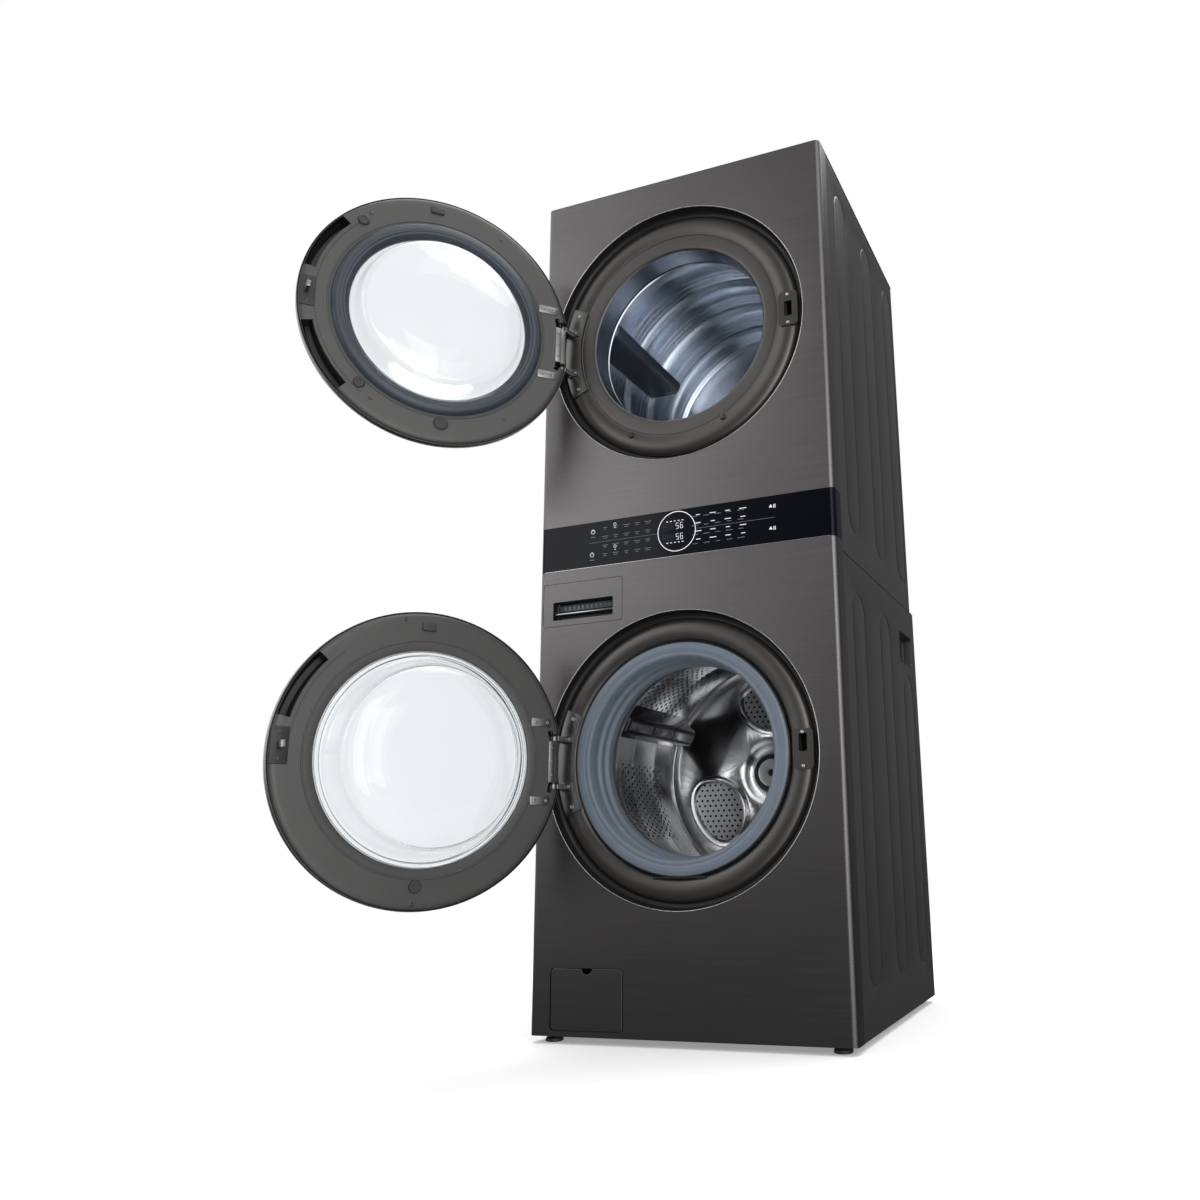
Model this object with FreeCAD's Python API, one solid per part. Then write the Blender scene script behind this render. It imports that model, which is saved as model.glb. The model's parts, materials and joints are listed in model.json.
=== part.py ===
import FreeCAD, Part
import math
import os

# Stacked laundry tower: a front-loading washer below, a tumble dryer above and one control band between.
# Millimetres, +Z up, the front faces -Y. The origin is on the floor, in the middle of the four feet.
V = FreeCAD.Vector
os.makedirs("parts", exist_ok=True)

# ---- cabinet ----
WIDTH = 686.0
HEIGHT = 1889.0
FRONT_Y = -350.0
WASHER_BACK_Y = 350.0
DRYER_BACK_Y = 318.0
SHEET = 1.0
CORNER_R = 12.0
RETURN_DEPTH = 45.0
SKIRT_Z = 14.3
FLOOR_PLATE_Z = 24.0
CABINET_SEAM_Z = 956.0
BAND_Z0 = 976.5
BAND_Z1 = 1079.2
LID_THICK = 3.0
SEAM = 0.3

# ---- door openings ----
OPENING_X = -12.0
WASHER_Z = 556.0
DRYER_Z = 1502.0
PANEL_HOLE_R = 304.0
CREST_R = 262.0
CREST_Y = -338.0
WASHER_MOUTH_R = 238.0
DRYER_MOUTH_R = 206.0

# ---- doors ----
DOOR_R = 287.0
DOOR_BACK_Y = -347.0
DOOR_FRONT_Y = -388.0
WINDOW_R = 228.5
RING_BORE_R = 208.0
HINGE_X = -288.0
HINGE_Y = -368.0
PIN_R = 4.0
PIN_CLEARANCE = 0.06
ARM_Z = 50.0
ARM_HALF = 6.0
WASHER_DOOR_OPEN = 121.5
DRYER_DOOR_OPEN = 130.5
LATCH_X = 255.0
WASHER_LATCH_DZ = 13.0
DRYER_LATCH_DZ = 0.0

# ---- drums ----
WASHER_DRUM_R = 279.0
DRYER_DRUM_R = 300.0
DRUM_SHEET = 0.8
TUB_R = 300.0
SHAFT_R = 15.0

# ---- dryer drive ----
MOTOR_X = 150.0
MOTOR_Z = 1075.0
PULLEY_R = 13.0
BELT_Y = 40.0
EXHAUST_X = -60.0
EXHAUST_R = 50.8

# ---- drawer and pump ----
DRAWER_X0, DRAWER_X1 = -332.0, -138.0
DRAWER_Z0, DRAWER_Z1 = 853.0, 948.0
PUMP_X0, PUMP_X1 = -295.5, -132.0
PUMP_Z0, PUMP_Z1 = 26.0, 143.5
PUMP_X, PUMP_Z = -214.0, 85.0

# ---- feet ----
FOOT_X = 305.0
FOOT_Y = 315.0
PAD_R = 18.0
STEM_R = 5.0


def box(x0, x1, y0, y1, z0, z1):
    """A block given by its two limits along each axis."""
    return Part.makeBox(x1 - x0, y1 - y0, z1 - z0, V(x0, y0, z0))


def rod(radius, length, x, y, z, axis=(0, 1, 0)):
    """A cylinder that starts at (x, y, z) and runs along axis."""
    return Part.makeCylinder(radius, length, V(x, y, z), V(*axis))


def pipe(outer, inner, length, x, y, z, axis=(0, 1, 0)):
    """A hollow cylinder."""
    return rod(outer, length, x, y, z, axis).cut(rod(inner, length, x, y, z, axis))


def turned(profile, x, z):
    """A ring or bowl: a closed (radius, y) outline turned about the line through (x, z) along Y."""
    points = [V(x + r, y, z) for r, y in profile]
    face = Part.Face(Part.makePolygon(points + [points[0]]))
    return face.revolve(V(x, 0, z), V(0, 1, 0), 360)


def upright_edges(shape, x_side, y):
    """The vertical edges of a block that stand at the given side and depth."""
    found = []
    for edge in shape.Edges:
        a = edge.Vertexes[0].Point
        b = edge.Vertexes[-1].Point
        vertical = abs(a.x - b.x) < 0.01 and abs(a.y - b.y) < 0.01
        if vertical and abs(abs(a.x) - x_side) < 0.01 and abs(a.y - y) < 0.01:
            found.append(edge)
    return found


def wrap(z0, z1, thickness):
    """A front sheet with rounded upright corners and a short return along each side."""
    half = WIDTH / 2
    back = FRONT_Y + RETURN_DEPTH
    outer = box(-half, half, FRONT_Y, back, z0, z1)
    outer = outer.makeFillet(CORNER_R, upright_edges(outer, half, FRONT_Y))
    inner = box(thickness - half, half - thickness, FRONT_Y + thickness, back + 1, z0 - 1, z1 + 1)
    inner = inner.makeFillet(CORNER_R - thickness, upright_edges(inner, half - thickness, FRONT_Y + thickness))
    return outer.cut(inner)


def soft_corners(shape, radius, direction):
    """Rounds the edges of a block that run along the given axis, 0 to 2 for X to Z."""
    chosen = []
    for edge in shape.Edges:
        along = edge.Vertexes[-1].Point - edge.Vertexes[0].Point
        parts = [abs(along.x), abs(along.y), abs(along.z)]
        if parts[direction] > 0.9 * along.Length:
            chosen.append(edge)
    return shape.makeFillet(radius, chosen)


def group(shapes):
    """Separate solids that share one node."""
    return Part.makeCompound(shapes)


def save(name, shape):
    shape.exportStep("parts/" + name + ".step")


# ---------------------------------------------------------------- base and feet
half = WIDTH / 2
side_in = half - 2 * SHEET
feet = {"front_left": (-FOOT_X, -FOOT_Y), "front_right": (FOOT_X, -FOOT_Y),
        "rear_left": (-FOOT_X, FOOT_Y), "rear_right": (FOOT_X, FOOT_Y)}

inner_y = FRONT_Y + CORNER_R
tray = box(0.5 - side_in, side_in - 0.5, inner_y, WASHER_BACK_Y - 4, SKIRT_Z + 1.7, FLOOR_PLATE_Z + 2.5)
tray = tray.cut(box(2 - side_in, side_in - 2, inner_y + 1.5, WASHER_BACK_Y - 5.5, SKIRT_Z, FLOOR_PLATE_Z + 1))
for fx, fy in feet.values():
    boss = rod(12, 18, fx, fy, FLOOR_PLATE_Z + 2, (0, 0, 1))
    tray = tray.fuse(boss).cut(rod(STEM_R + PIN_CLEARANCE, 40, fx, fy, SKIRT_Z, (0, 0, 1)))
save("base_pan", tray)

nuts = []
for name, (fx, fy) in feet.items():
    pad = rod(PAD_R, 8, fx, fy, 0, (0, 0, 1))
    neck = Part.makeCone(PAD_R - 4, 9, 5, V(fx, fy, 8), V(0, 0, 1))
    stem = rod(STEM_R, 46, fx, fy, 13, (0, 0, 1))
    save("foot_" + name, pad.fuse(neck).fuse(stem))
    hexagon = Part.makePolygon([V(fx + 9.5 * math.cos(math.radians(a)), fy + 9.5 * math.sin(math.radians(a)), 18)
                                for a in range(0, 361, 60)])
    nut = Part.Face(hexagon).extrude(V(0, 0, 5.9))
    nuts.append(nut.cut(rod(STEM_R + 0.3, 8, fx, fy, 17, (0, 0, 1))))
save("foot_lock_nuts", group(nuts))

# ---------------------------------------------------------------- cabinet panels
GRIP_Y0, GRIP_Y1 = 180.0, 315.0
GRIP_Z0, GRIP_Z1 = 808.0, 886.0
grips = []
for side, sign in (("left", -1), ("right", 1)):
    xs = sorted((sign * side_in, sign * (side_in + SHEET)))
    lower = box(xs[0], xs[1], inner_y + 0.5, WASHER_BACK_Y - 2.1, SKIRT_Z, CABINET_SEAM_Z - 1)
    window = box(xs[0] - 1, xs[1] + 1, GRIP_Y0, GRIP_Y1, GRIP_Z0, GRIP_Z1)
    save("washer_side_" + side, lower.cut(soft_corners(window, 12, 0)))
    upper = box(xs[0], xs[1], inner_y + 0.5, DRYER_BACK_Y - 2.1, CABINET_SEAM_Z + 1, HEIGHT - LID_THICK - 0.2)
    save("dryer_side_" + side, upper)
    cup_x = sorted((sign * 314.0, sign * (half - 0.5)))
    cup = soft_corners(box(cup_x[0], cup_x[1], GRIP_Y0 + 0.3, GRIP_Y1 - 0.3, GRIP_Z0 + 0.3, GRIP_Z1 - 0.3), 11.7, 0)
    room_x = sorted((sign * 317.0, sign * half))
    room = soft_corners(box(room_x[0], room_x[1], GRIP_Y0 + 3.3, GRIP_Y1 - 3.3, GRIP_Z0 + 3.3, GRIP_Z1 - 3.3), 8, 0)
    grips.append(cup.cut(room))
save("side_grips", group(grips))

panel = wrap(SKIRT_Z, BAND_Z0, SHEET)
panel = panel.cut(rod(PANEL_HOLE_R, 10, OPENING_X, FRONT_Y - 5, WASHER_Z))
drawer_gap = box(DRAWER_X0 - 1, DRAWER_X1 + 1, FRONT_Y - 5, FRONT_Y + 5, DRAWER_Z0 - 1, DRAWER_Z1 + 1)
pump_gap = box(PUMP_X0 - 1, PUMP_X1 + 1, FRONT_Y - 5, FRONT_Y + 5, PUMP_Z0 - 1, PUMP_Z1 + 1)
panel = panel.cut(soft_corners(drawer_gap, 6, 1)).cut(soft_corners(pump_gap, 9, 1))
save("washer_front_panel", panel)

panel = wrap(BAND_Z1, HEIGHT - LID_THICK - 0.2, SHEET)
save("dryer_front_panel", panel.cut(rod(PANEL_HOLE_R, 10, OPENING_X, FRONT_Y - 5, DRYER_Z)))

lid = box(-half, half, FRONT_Y, DRYER_BACK_Y, HEIGHT - LID_THICK, HEIGHT)
lid = lid.makeFillet(CORNER_R, upright_edges(lid, half, FRONT_Y))
under = box(CORNER_R - half, half - CORNER_R, inner_y, DRYER_BACK_Y - 3, HEIGHT - LID_THICK - 1, HEIGHT - SHEET)
save("top_panel", lid.cut(under))

save("control_fascia", wrap(BAND_Z0 + 0.4, BAND_Z1 - 0.4, SHEET))
board = box(-255, 245, FRONT_Y + 7, FRONT_Y + 9, BAND_Z0 + 8, BAND_Z1 - 8)
display = box(-60, 44, FRONT_Y + 3.5, FRONT_Y + 7, BAND_Z0 + 10, BAND_Z1 - 4)
relay_box = box(90, 220, FRONT_Y + 9, FRONT_Y + 38, BAND_Z0 + 12, BAND_Z1 - 12)
save("control_board", board.fuse(display).fuse(relay_box))

save("dryer_floor", box(0.5 - side_in, side_in - 0.5, inner_y, WASHER_BACK_Y, CABINET_SEAM_Z + 1,
                        CABINET_SEAM_Z + 2.2))

# Both back covers, with their clearance holes for the fittings.
HOT_X, COLD_X, DRAIN_X = 285.0, 225.0, -255.0
TAP_Z, DRAIN_Z = 900.0, 880.0
GLAND_X, GLAND_Z = 265.0, 1010.0
TAP_R = 13.2
DRAIN_R = 12.0
GLAND_R = 16.0
lower = box(-half + SHEET, half - SHEET, WASHER_BACK_Y - SHEET, WASHER_BACK_Y, SKIRT_Z, CABINET_SEAM_Z - 1)
for x, z, r in ((HOT_X, TAP_Z, TAP_R), (COLD_X, TAP_Z, TAP_R), (DRAIN_X, DRAIN_Z, DRAIN_R)):
    lower = lower.cut(rod(r + 2, 20, x, WASHER_BACK_Y - 10, z))
upper = box(-half + SHEET, half - SHEET, DRYER_BACK_Y - SHEET, DRYER_BACK_Y, CABINET_SEAM_Z + 3.2,
            HEIGHT - LID_THICK - 0.2)
upper = upper.fuse(pipe(34, SHAFT_R + PIN_CLEARANCE, 12, OPENING_X, DRYER_BACK_Y - 14, DRYER_Z))
upper = upper.cut(rod(SHAFT_R + PIN_CLEARANCE, 30, OPENING_X, DRYER_BACK_Y - 20, DRYER_Z))
upper = upper.cut(rod(EXHAUST_R + 1.5, 20, EXHAUST_X, DRYER_BACK_Y - 10, MOTOR_Z))
upper = upper.cut(rod(GLAND_R + 0.5, 20, GLAND_X, DRYER_BACK_Y - 10, GLAND_Z))
save("back_panels", group([lower, upper]))

# ---------------------------------------------------------------- door surrounds
# Front lines run from the flange behind the panel, over the groove and the crest, to the mouth.
OUTER_DISH = [(312, -348.2), (303.4, -348.2), (301, -326), (290, -323.5), (287, -328),
              (280, -334.5), (272, -337.4), (CREST_R, CREST_Y), (252, -336.5)]
WASHER_FRONT_LINE = OUTER_DISH + [(244, -333), (WASHER_MOUTH_R + 1, -326)]
DRYER_FRONT_LINE = OUTER_DISH + [(243, -334.5), (DRYER_MOUTH_R + 5, -333.5), (DRYER_MOUTH_R, -330)]
MOULD = 3.0
LATCH_POCKET_DEPTH = 34.0


def surround(front_line, inner_edge, z):
    """A dished plastic ring, one wall thick, with a groove around its outside."""
    back = []
    for r, y in reversed(front_line[1:]):
        steep = 300 < r < 305
        back.append((r + MOULD if steep else r, y + MOULD))
    back.append((front_line[0][0], front_line[0][1] + MOULD))
    return turned(front_line + inner_edge + back[1:], OPENING_X, z)


washer_ring = surround(WASHER_FRONT_LINE, [(WASHER_MOUTH_R + 1, -318), (244, -326)], WASHER_Z)
dryer_ring = surround(DRYER_FRONT_LINE, [(DRYER_MOUTH_R, -328.5), (DRYER_MOUTH_R + 5, -330.5)], DRYER_Z)
collar = pipe(DRYER_MOUTH_R + 3, DRYER_MOUTH_R, 52, OPENING_X, -328.4, DRYER_Z)
LINT_X0, LINT_X1 = -152.0, 128.0
LINT_Y0, LINT_Y1 = -314.0, -298.0
lint_gap = box(LINT_X0 - 1, LINT_X1 + 1, LINT_Y0 - 1, LINT_Y1 + 1, DRYER_Z - 260, DRYER_Z - 120)
for name, ring, z, dz in (("washer_bezel", washer_ring, WASHER_Z, WASHER_LATCH_DZ),
                          ("dryer_bezel", dryer_ring, DRYER_Z, DRYER_LATCH_DZ)):
    ring = ring.cut(box(LATCH_X - 13, LATCH_X + 13, -345, -290, z + dz - 22, z + dz + 22))
    save(name, group([ring, collar.cut(lint_gap)]) if name == "dryer_bezel" else ring)

plates = []
strikes = []
for z, dz in ((WASHER_Z, WASHER_LATCH_DZ), (DRYER_Z, DRYER_LATCH_DZ)):
    leaf = pipe(283, 242, 2.0, OPENING_X, CREST_Y - 2.5, z)
    leaf = leaf.common(box(-320, -200, -360, -320, z - 106, z + 106))
    for side in (-1, 1):
        z_mid = z + side * ARM_Z
        arm = box(HINGE_X - 8, HINGE_X + 12, HINGE_Y, CREST_Y - 0.6, z_mid - ARM_HALF, z_mid + ARM_HALF)
        eye = rod(9, 2 * ARM_HALF, HINGE_X, HINGE_Y, z_mid - ARM_HALF, (0, 0, 1))
        hole = rod(PIN_R + PIN_CLEARANCE, 2 * ARM_HALF + 2, HINGE_X, HINGE_Y, z_mid - ARM_HALF - 1, (0, 0, 1))
        leaf = leaf.fuse(arm).fuse(eye).cut(hole)
    plates.append(leaf)
    plate = soft_corners(box(LATCH_X - 22, LATCH_X + 22, CREST_Y - 2.5, CREST_Y - 0.5, z - 40, z + 40), 8, 1)
    shell = box(LATCH_X - 12, LATCH_X + 12, CREST_Y - 1, CREST_Y - 0.5 + LATCH_POCKET_DEPTH,
                z + dz - 21, z + dz + 21)
    slot = box(LATCH_X - 8, LATCH_X + 8, CREST_Y - 5, CREST_Y - 3 + LATCH_POCKET_DEPTH, z + dz - 17, z + dz + 17)
    strikes.append(plate.fuse(shell).cut(slot))
save("hinge_brackets", group(plates))
save("latch_plates", group(strikes))

# ---------------------------------------------------------------- washer tub and its supports
TUB_FRONT_Y = -262.0
TUB_REAR_Y = 262.0
WALL = 5.0
front_half = turned([(204, TUB_FRONT_Y), (TUB_R, TUB_FRONT_Y), (TUB_R, -0.2), (TUB_R - WALL, -0.2),
                     (TUB_R - WALL, TUB_FRONT_Y + WALL), (204, TUB_FRONT_Y + WALL)], OPENING_X, WASHER_Z)
save("tub_front", front_half)
HUB_R = 42.0
hub_bore = SHAFT_R + PIN_CLEARANCE
rear_half = turned([(TUB_R, 0.2), (TUB_R, TUB_REAR_Y + 6), (HUB_R, TUB_REAR_Y + 6), (HUB_R, TUB_REAR_Y + 36),
                    (hub_bore, TUB_REAR_Y + 36), (hub_bore, TUB_REAR_Y), (TUB_R - WALL, TUB_REAR_Y),
                    (TUB_R - WALL, 0.2)], OPENING_X, WASHER_Z)
save("tub_rear", rear_half)

weight_ring = pipe(TUB_R - 2, 252, 34, OPENING_X, TUB_FRONT_Y - 34.5, WASHER_Z)
weights = [weight_ring.common(box(-400, 400, -400, 0, WASHER_Z + 105, WASHER_Z + 400)),
           weight_ring.common(box(-400, 400, -400, 0, WASHER_Z - 400, WASHER_Z - 105))]
save("counterweights", group(weights))


def tub_gap(x):
    """Half the height of the tub at the given place across it."""
    return math.sqrt(TUB_R ** 2 - (x - OPENING_X) ** 2)


supports = []
for x in (-200.0, 176.0):
    foot_z = WASHER_Z + tub_gap(x) + 14
    supports.append(pipe(14, 10, CABINET_SEAM_Z - foot_z, x, 60, foot_z, (0, 0, 1)))
for x, y in ((-150.0, -150.0), (126.0, -150.0), (-150.0, 160.0), (126.0, 160.0)):
    top_z = WASHER_Z - tub_gap(x) - 4
    cylinder = rod(14, 130, x, y, FLOOR_PLATE_Z + 3, (0, 0, 1))
    supports.append(cylinder.fuse(rod(7, top_z - FLOOR_PLATE_Z - 3, x, y, FLOOR_PLATE_Z + 3, (0, 0, 1))))
save("tub_suspension", group(supports))

save("motor_stator", pipe(122, HUB_R + 0.5, 24, OPENING_X, TUB_REAR_Y + 8, WASHER_Z))

# Rubber bellows from the surround to the tub's mouth, with a lip that the door's bowl closes on.
bellows = [(WASHER_MOUTH_R, -336.5), (230, -341), (200, -341), (187, -333), (182, -314), (186, -294),
           (207, -291), (213, -286), (208, -279), (197, -275), (197, TUB_FRONT_Y + 10), (203.5, TUB_FRONT_Y + 10),
           (203.5, -269), (216, -278), (221, -287), (214, -297), (193, -300), (189, -313), (193, -328),
           (204, -334.5), (226, -334.5), (WASHER_MOUTH_R, -331)]
save("door_gasket", turned(bellows, OPENING_X, WASHER_Z))

# ---------------------------------------------------------------- washer drum and direct drive
DRUM_FRONT_Y = -238.0
DRUM_BACK_Y = 230.0
inner_r = WASHER_DRUM_R
outer_r = WASHER_DRUM_R + DRUM_SHEET
sheets = [pipe(outer_r, 200, DRUM_SHEET, OPENING_X, DRUM_FRONT_Y, WASHER_Z),
          pipe(outer_r, inner_r, DRUM_BACK_Y - DRUM_FRONT_Y - DRUM_SHEET - 0.2, OPENING_X,
               DRUM_FRONT_Y + DRUM_SHEET + 0.1, WASHER_Z),
          rod(outer_r, 1.2, OPENING_X, DRUM_BACK_Y, WASHER_Z)]
spider = rod(36, 16, OPENING_X, DRUM_BACK_Y + 1.3, WASHER_Z)
for k in range(3):
    arm = box(OPENING_X - 16, OPENING_X + 16, DRUM_BACK_Y + 1.3, DRUM_BACK_Y + 16, WASHER_Z, WASHER_Z + 262)
    arm.rotate(V(OPENING_X, 0, WASHER_Z), V(0, 1, 0), 60 + 120 * k)
    spider = spider.fuse(arm)
spider = spider.fuse(rod(SHAFT_R, 87, OPENING_X, DRUM_BACK_Y + 1.3, WASHER_Z))
save("washer_drum", group(sheets + [spider]))


def wedge(base_half, top_half, y0, y1, z_base, z_top):
    """A straight block that narrows from its base to its top."""
    outline = [V(OPENING_X - base_half, y0, z_base), V(OPENING_X + base_half, y0, z_base),
               V(OPENING_X + top_half, y0, z_top), V(OPENING_X - top_half, y0, z_top)]
    return Part.Face(Part.makePolygon(outline + [outline[0]])).extrude(V(0, y1 - y0, 0))


def lifter(reach, base_half, top_half, y0, y1, wall_r, z, turn):
    """A hollow tapered paddle on the drum wall, pointing at the axis and open towards the wall."""
    base_z = z - wall_r + 4.0
    top_z = z - wall_r + reach
    wall = 3.0
    paddle = wedge(base_half, top_half, y0, y1, base_z, top_z)
    room = wedge(base_half - wall, top_half - wall, y0 + wall, y1 - wall, base_z - 1, top_z - wall)
    paddle = paddle.cut(room)
    paddle.rotate(V(OPENING_X, 0, z), V(0, 1, 0), turn)
    return paddle


washer_paddles = [lifter(62, 42, 20, -190, 190, WASHER_DRUM_R, WASHER_Z, a) for a in (115, 235, 355)]
save("washer_lifters", group(washer_paddles))

ROTOR_Y = TUB_REAR_Y + 40
rotor = turned([(SHAFT_R, ROTOR_Y), (130, ROTOR_Y), (130, ROTOR_Y - 30), (124.5, ROTOR_Y - 30),
                (124.5, ROTOR_Y - 4), (HUB_R + 4, ROTOR_Y - 4), (HUB_R + 4, ROTOR_Y - 3), (SHAFT_R, ROTOR_Y - 3)],
               OPENING_X, WASHER_Z)
save("motor_rotor", rotor)

# ---------------------------------------------------------------- detergent drawer
DRAWER_DEPTH = 290.0
housing = box(DRAWER_X0 - 3.5, DRAWER_X1 + 3.5, FRONT_Y + SHEET + 1.5, FRONT_Y + 340, DRAWER_Z0 - 3, DRAWER_Z1 + 4)
housing = housing.cut(box(DRAWER_X0 - 1.5, DRAWER_X1 + 1.5, FRONT_Y, FRONT_Y + 337, DRAWER_Z0 - 1, DRAWER_Z1 + 2))
save("drawer_housing", housing)

GRIP_X0, GRIP_X1 = -308.0, -160.0
GRIP_SLOT_Z0, GRIP_SLOT_Z1 = 866.0, 907.0
face = soft_corners(box(DRAWER_X0, DRAWER_X1, FRONT_Y, FRONT_Y + 26, DRAWER_Z0, DRAWER_Z1), 5, 1)
face = face.cut(box(GRIP_X0, GRIP_X1, FRONT_Y - 1, FRONT_Y + 22, GRIP_SLOT_Z0, GRIP_SLOT_Z1))
save("drawer_front", face)

tray = box(DRAWER_X0 + 2, DRAWER_X1 - 2, FRONT_Y + 26, FRONT_Y + 26 + DRAWER_DEPTH, DRAWER_Z0 + 3, DRAWER_Z1 - 13)
for x0, x1 in ((DRAWER_X0 + 5, -273.0), (-270.0, -203.0), (-200.0, DRAWER_X1 - 5)):
    tray = tray.cut(box(x0, x1, FRONT_Y + 29, FRONT_Y + 23 + DRAWER_DEPTH, DRAWER_Z0 + 6, DRAWER_Z1))
save("detergent_tray", tray)

# ---------------------------------------------------------------- drain pump and its access
door_panel = soft_corners(box(PUMP_X0, PUMP_X1, FRONT_Y, FRONT_Y + 2.5, PUMP_Z0, PUMP_Z1), 8, 1)
notch = box(-225, -201, FRONT_Y - 1, FRONT_Y + 5, PUMP_Z1 - 11, PUMP_Z1 + 2)
save("pump_cover", door_panel.cut(notch))

body = rod(34, 120, PUMP_X, FRONT_Y + 22, PUMP_Z).fuse(rod(44, 50, PUMP_X, FRONT_Y + 150, PUMP_Z))
body = body.fuse(box(PUMP_X - 20, PUMP_X + 20, FRONT_Y + 60, FRONT_Y + 180, FLOOR_PLATE_Z + 3, PUMP_Z))
body = body.fuse(rod(16, 150, PUMP_X + 30, FRONT_Y + 120, PUMP_Z, (0, 0, 1)))
save("drain_pump", body)
cap = rod(33, 9, PUMP_X, FRONT_Y + 12, PUMP_Z)
cap = cap.fuse(box(PUMP_X - 26, PUMP_X + 26, FRONT_Y + 5, FRONT_Y + 12, PUMP_Z - 5, PUMP_Z + 5))
save("pump_filter_cap", cap)

# ---------------------------------------------------------------- fittings on the back
fittings = []
for x, z, r, reach in ((HOT_X, TAP_Z, TAP_R, 22), (COLD_X, TAP_Z, TAP_R, 22), (DRAIN_X, DRAIN_Z, DRAIN_R, 28)):
    valve = box(x - 24, x + 24, WASHER_BACK_Y - 40, WASHER_BACK_Y - 2.5, z - 24, z + 24)
    stub = pipe(r, r - 3.5, reach + 12, x, WASHER_BACK_Y - 12, z)
    fittings.append(valve.cut(rod(r - 3.5, 20, x, WASHER_BACK_Y - 12, z)).fuse(stub))
gland = pipe(GLAND_R, 9.0, 20, GLAND_X, DRYER_BACK_Y - 12, GLAND_Z)
gland = gland.fuse(pipe(GLAND_R + 5, 9.0, 4, GLAND_X, DRYER_BACK_Y + 0.3, GLAND_Z))
fittings.append(gland)
save("rear_fittings", group(fittings))

# ---------------------------------------------------------------- dryer drum
DRYER_FRONT_Y = -270.0
DRYER_REAR_Y = 296.0
outer_r = DRYER_DRUM_R + DRUM_SHEET
rear_disc = turned([(outer_r, DRYER_REAR_Y), (outer_r, DRYER_REAR_Y + 1), (SHAFT_R, DRYER_REAR_Y + 1),
                    (SHAFT_R, DRYER_BACK_Y + 6), (0, DRYER_BACK_Y + 6), (0, DRYER_REAR_Y)], OPENING_X, DRYER_Z)
sheets = [pipe(outer_r, 216, DRUM_SHEET, OPENING_X, DRYER_FRONT_Y, DRYER_Z),
          pipe(outer_r, DRYER_DRUM_R, DRYER_REAR_Y - DRYER_FRONT_Y - DRUM_SHEET - 0.2, OPENING_X,
               DRYER_FRONT_Y + DRUM_SHEET + 0.1, DRYER_Z), rear_disc]
save("dryer_drum", group(sheets))
dryer_paddles = [lifter(84, 46, 16, -255, 120, DRYER_DRUM_R, DRYER_Z, a) for a in (115, 235, 355)]
save("dryer_lifters", group(dryer_paddles))

# ---------------------------------------------------------------- dryer drive, fan and ducts
motor = rod(50, 96, MOTOR_X, 76, MOTOR_Z)
for foot_y in (80, 164):
    motor = motor.fuse(box(MOTOR_X - 45, MOTOR_X + 45, foot_y, foot_y + 4, CABINET_SEAM_Z + 3, MOTOR_Z - 40))
motor = motor.cut(rod(7, 140, MOTOR_X, 60, MOTOR_Z))
save("dryer_motor", motor)

FAN_Y0, FAN_Y1 = 214.0, 254.0
shaft = rod(6, FAN_Y1 - BELT_Y + 10, MOTOR_X, BELT_Y - 10, MOTOR_Z)
pulley = rod(PULLEY_R, 14, MOTOR_X, BELT_Y - 7, MOTOR_Z)
wheel = rod(84, 3, MOTOR_X, FAN_Y0, MOTOR_Z).fuse(rod(14, FAN_Y1 - FAN_Y0, MOTOR_X, FAN_Y0, MOTOR_Z))
for k in range(12):
    vane = box(MOTOR_X + 55, MOTOR_X + 82, FAN_Y0, FAN_Y1, MOTOR_Z - 1.5, MOTOR_Z + 1.5)
    vane.rotate(V(MOTOR_X, 0, MOTOR_Z), V(0, 1, 0), 30 * k)
    wheel = wheel.fuse(vane)
save("motor_shaft_set", group([shaft.fuse(pulley).fuse(wheel)]))

fan_box = box(-118, MOTOR_X + 96, FAN_Y0 - 8, FAN_Y1 + 8, MOTOR_Z - 96, MOTOR_Z + 96)
fan_room = box(-117, MOTOR_X + 95, FAN_Y0 - 7, FAN_Y1 + 7, MOTOR_Z - 95, MOTOR_Z + 95)
fan_box = fan_box.cut(fan_room).cut(rod(20, 20, MOTOR_X, FAN_Y0 - 15, MOTOR_Z))
fan_box = fan_box.cut(rod(EXHAUST_R - 2.2, 20, EXHAUST_X, FAN_Y1 - 5, MOTOR_Z))
outlet = pipe(EXHAUST_R - 1, EXHAUST_R - 2.2, 112 - SEAM, EXHAUST_X, FAN_Y1 + 8 + SEAM, MOTOR_Z)
outlet = outlet.fuse(pipe(EXHAUST_R, EXHAUST_R - 2.2, 50, EXHAUST_X, DRYER_BACK_Y + 6, MOTOR_Z))
heater = box(-325, -150, 60, 290, CABINET_SEAM_Z + 4, 1120).cut(box(-324, -151, 61, 289, CABINET_SEAM_Z + 5, 1119))
riser = box(-290, -190, 300, 314, 1000, 1420).cut(box(-289, -191, 301, 313, 1001, 1419))
bridge = box(-280, -200, 287, 302, 1010, 1060)
heater = heater.fuse(bridge).fuse(riser).cut(box(-279, -201, 280, 308, 1011, 1059))
save("air_ducts", group([fan_box, outlet, heater]))

# Flat belt around the drum and the pulley: two arcs joined by the outer tangents.
BELT = 2.4
belt_big = DRYER_DRUM_R + DRUM_SHEET + 0.5
belt_small = PULLEY_R + 0.5
dx, dz = MOTOR_X - OPENING_X, MOTOR_Z - DRYER_Z
reach = math.hypot(dx, dz)
heading = math.atan2(dz, dx)


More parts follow.
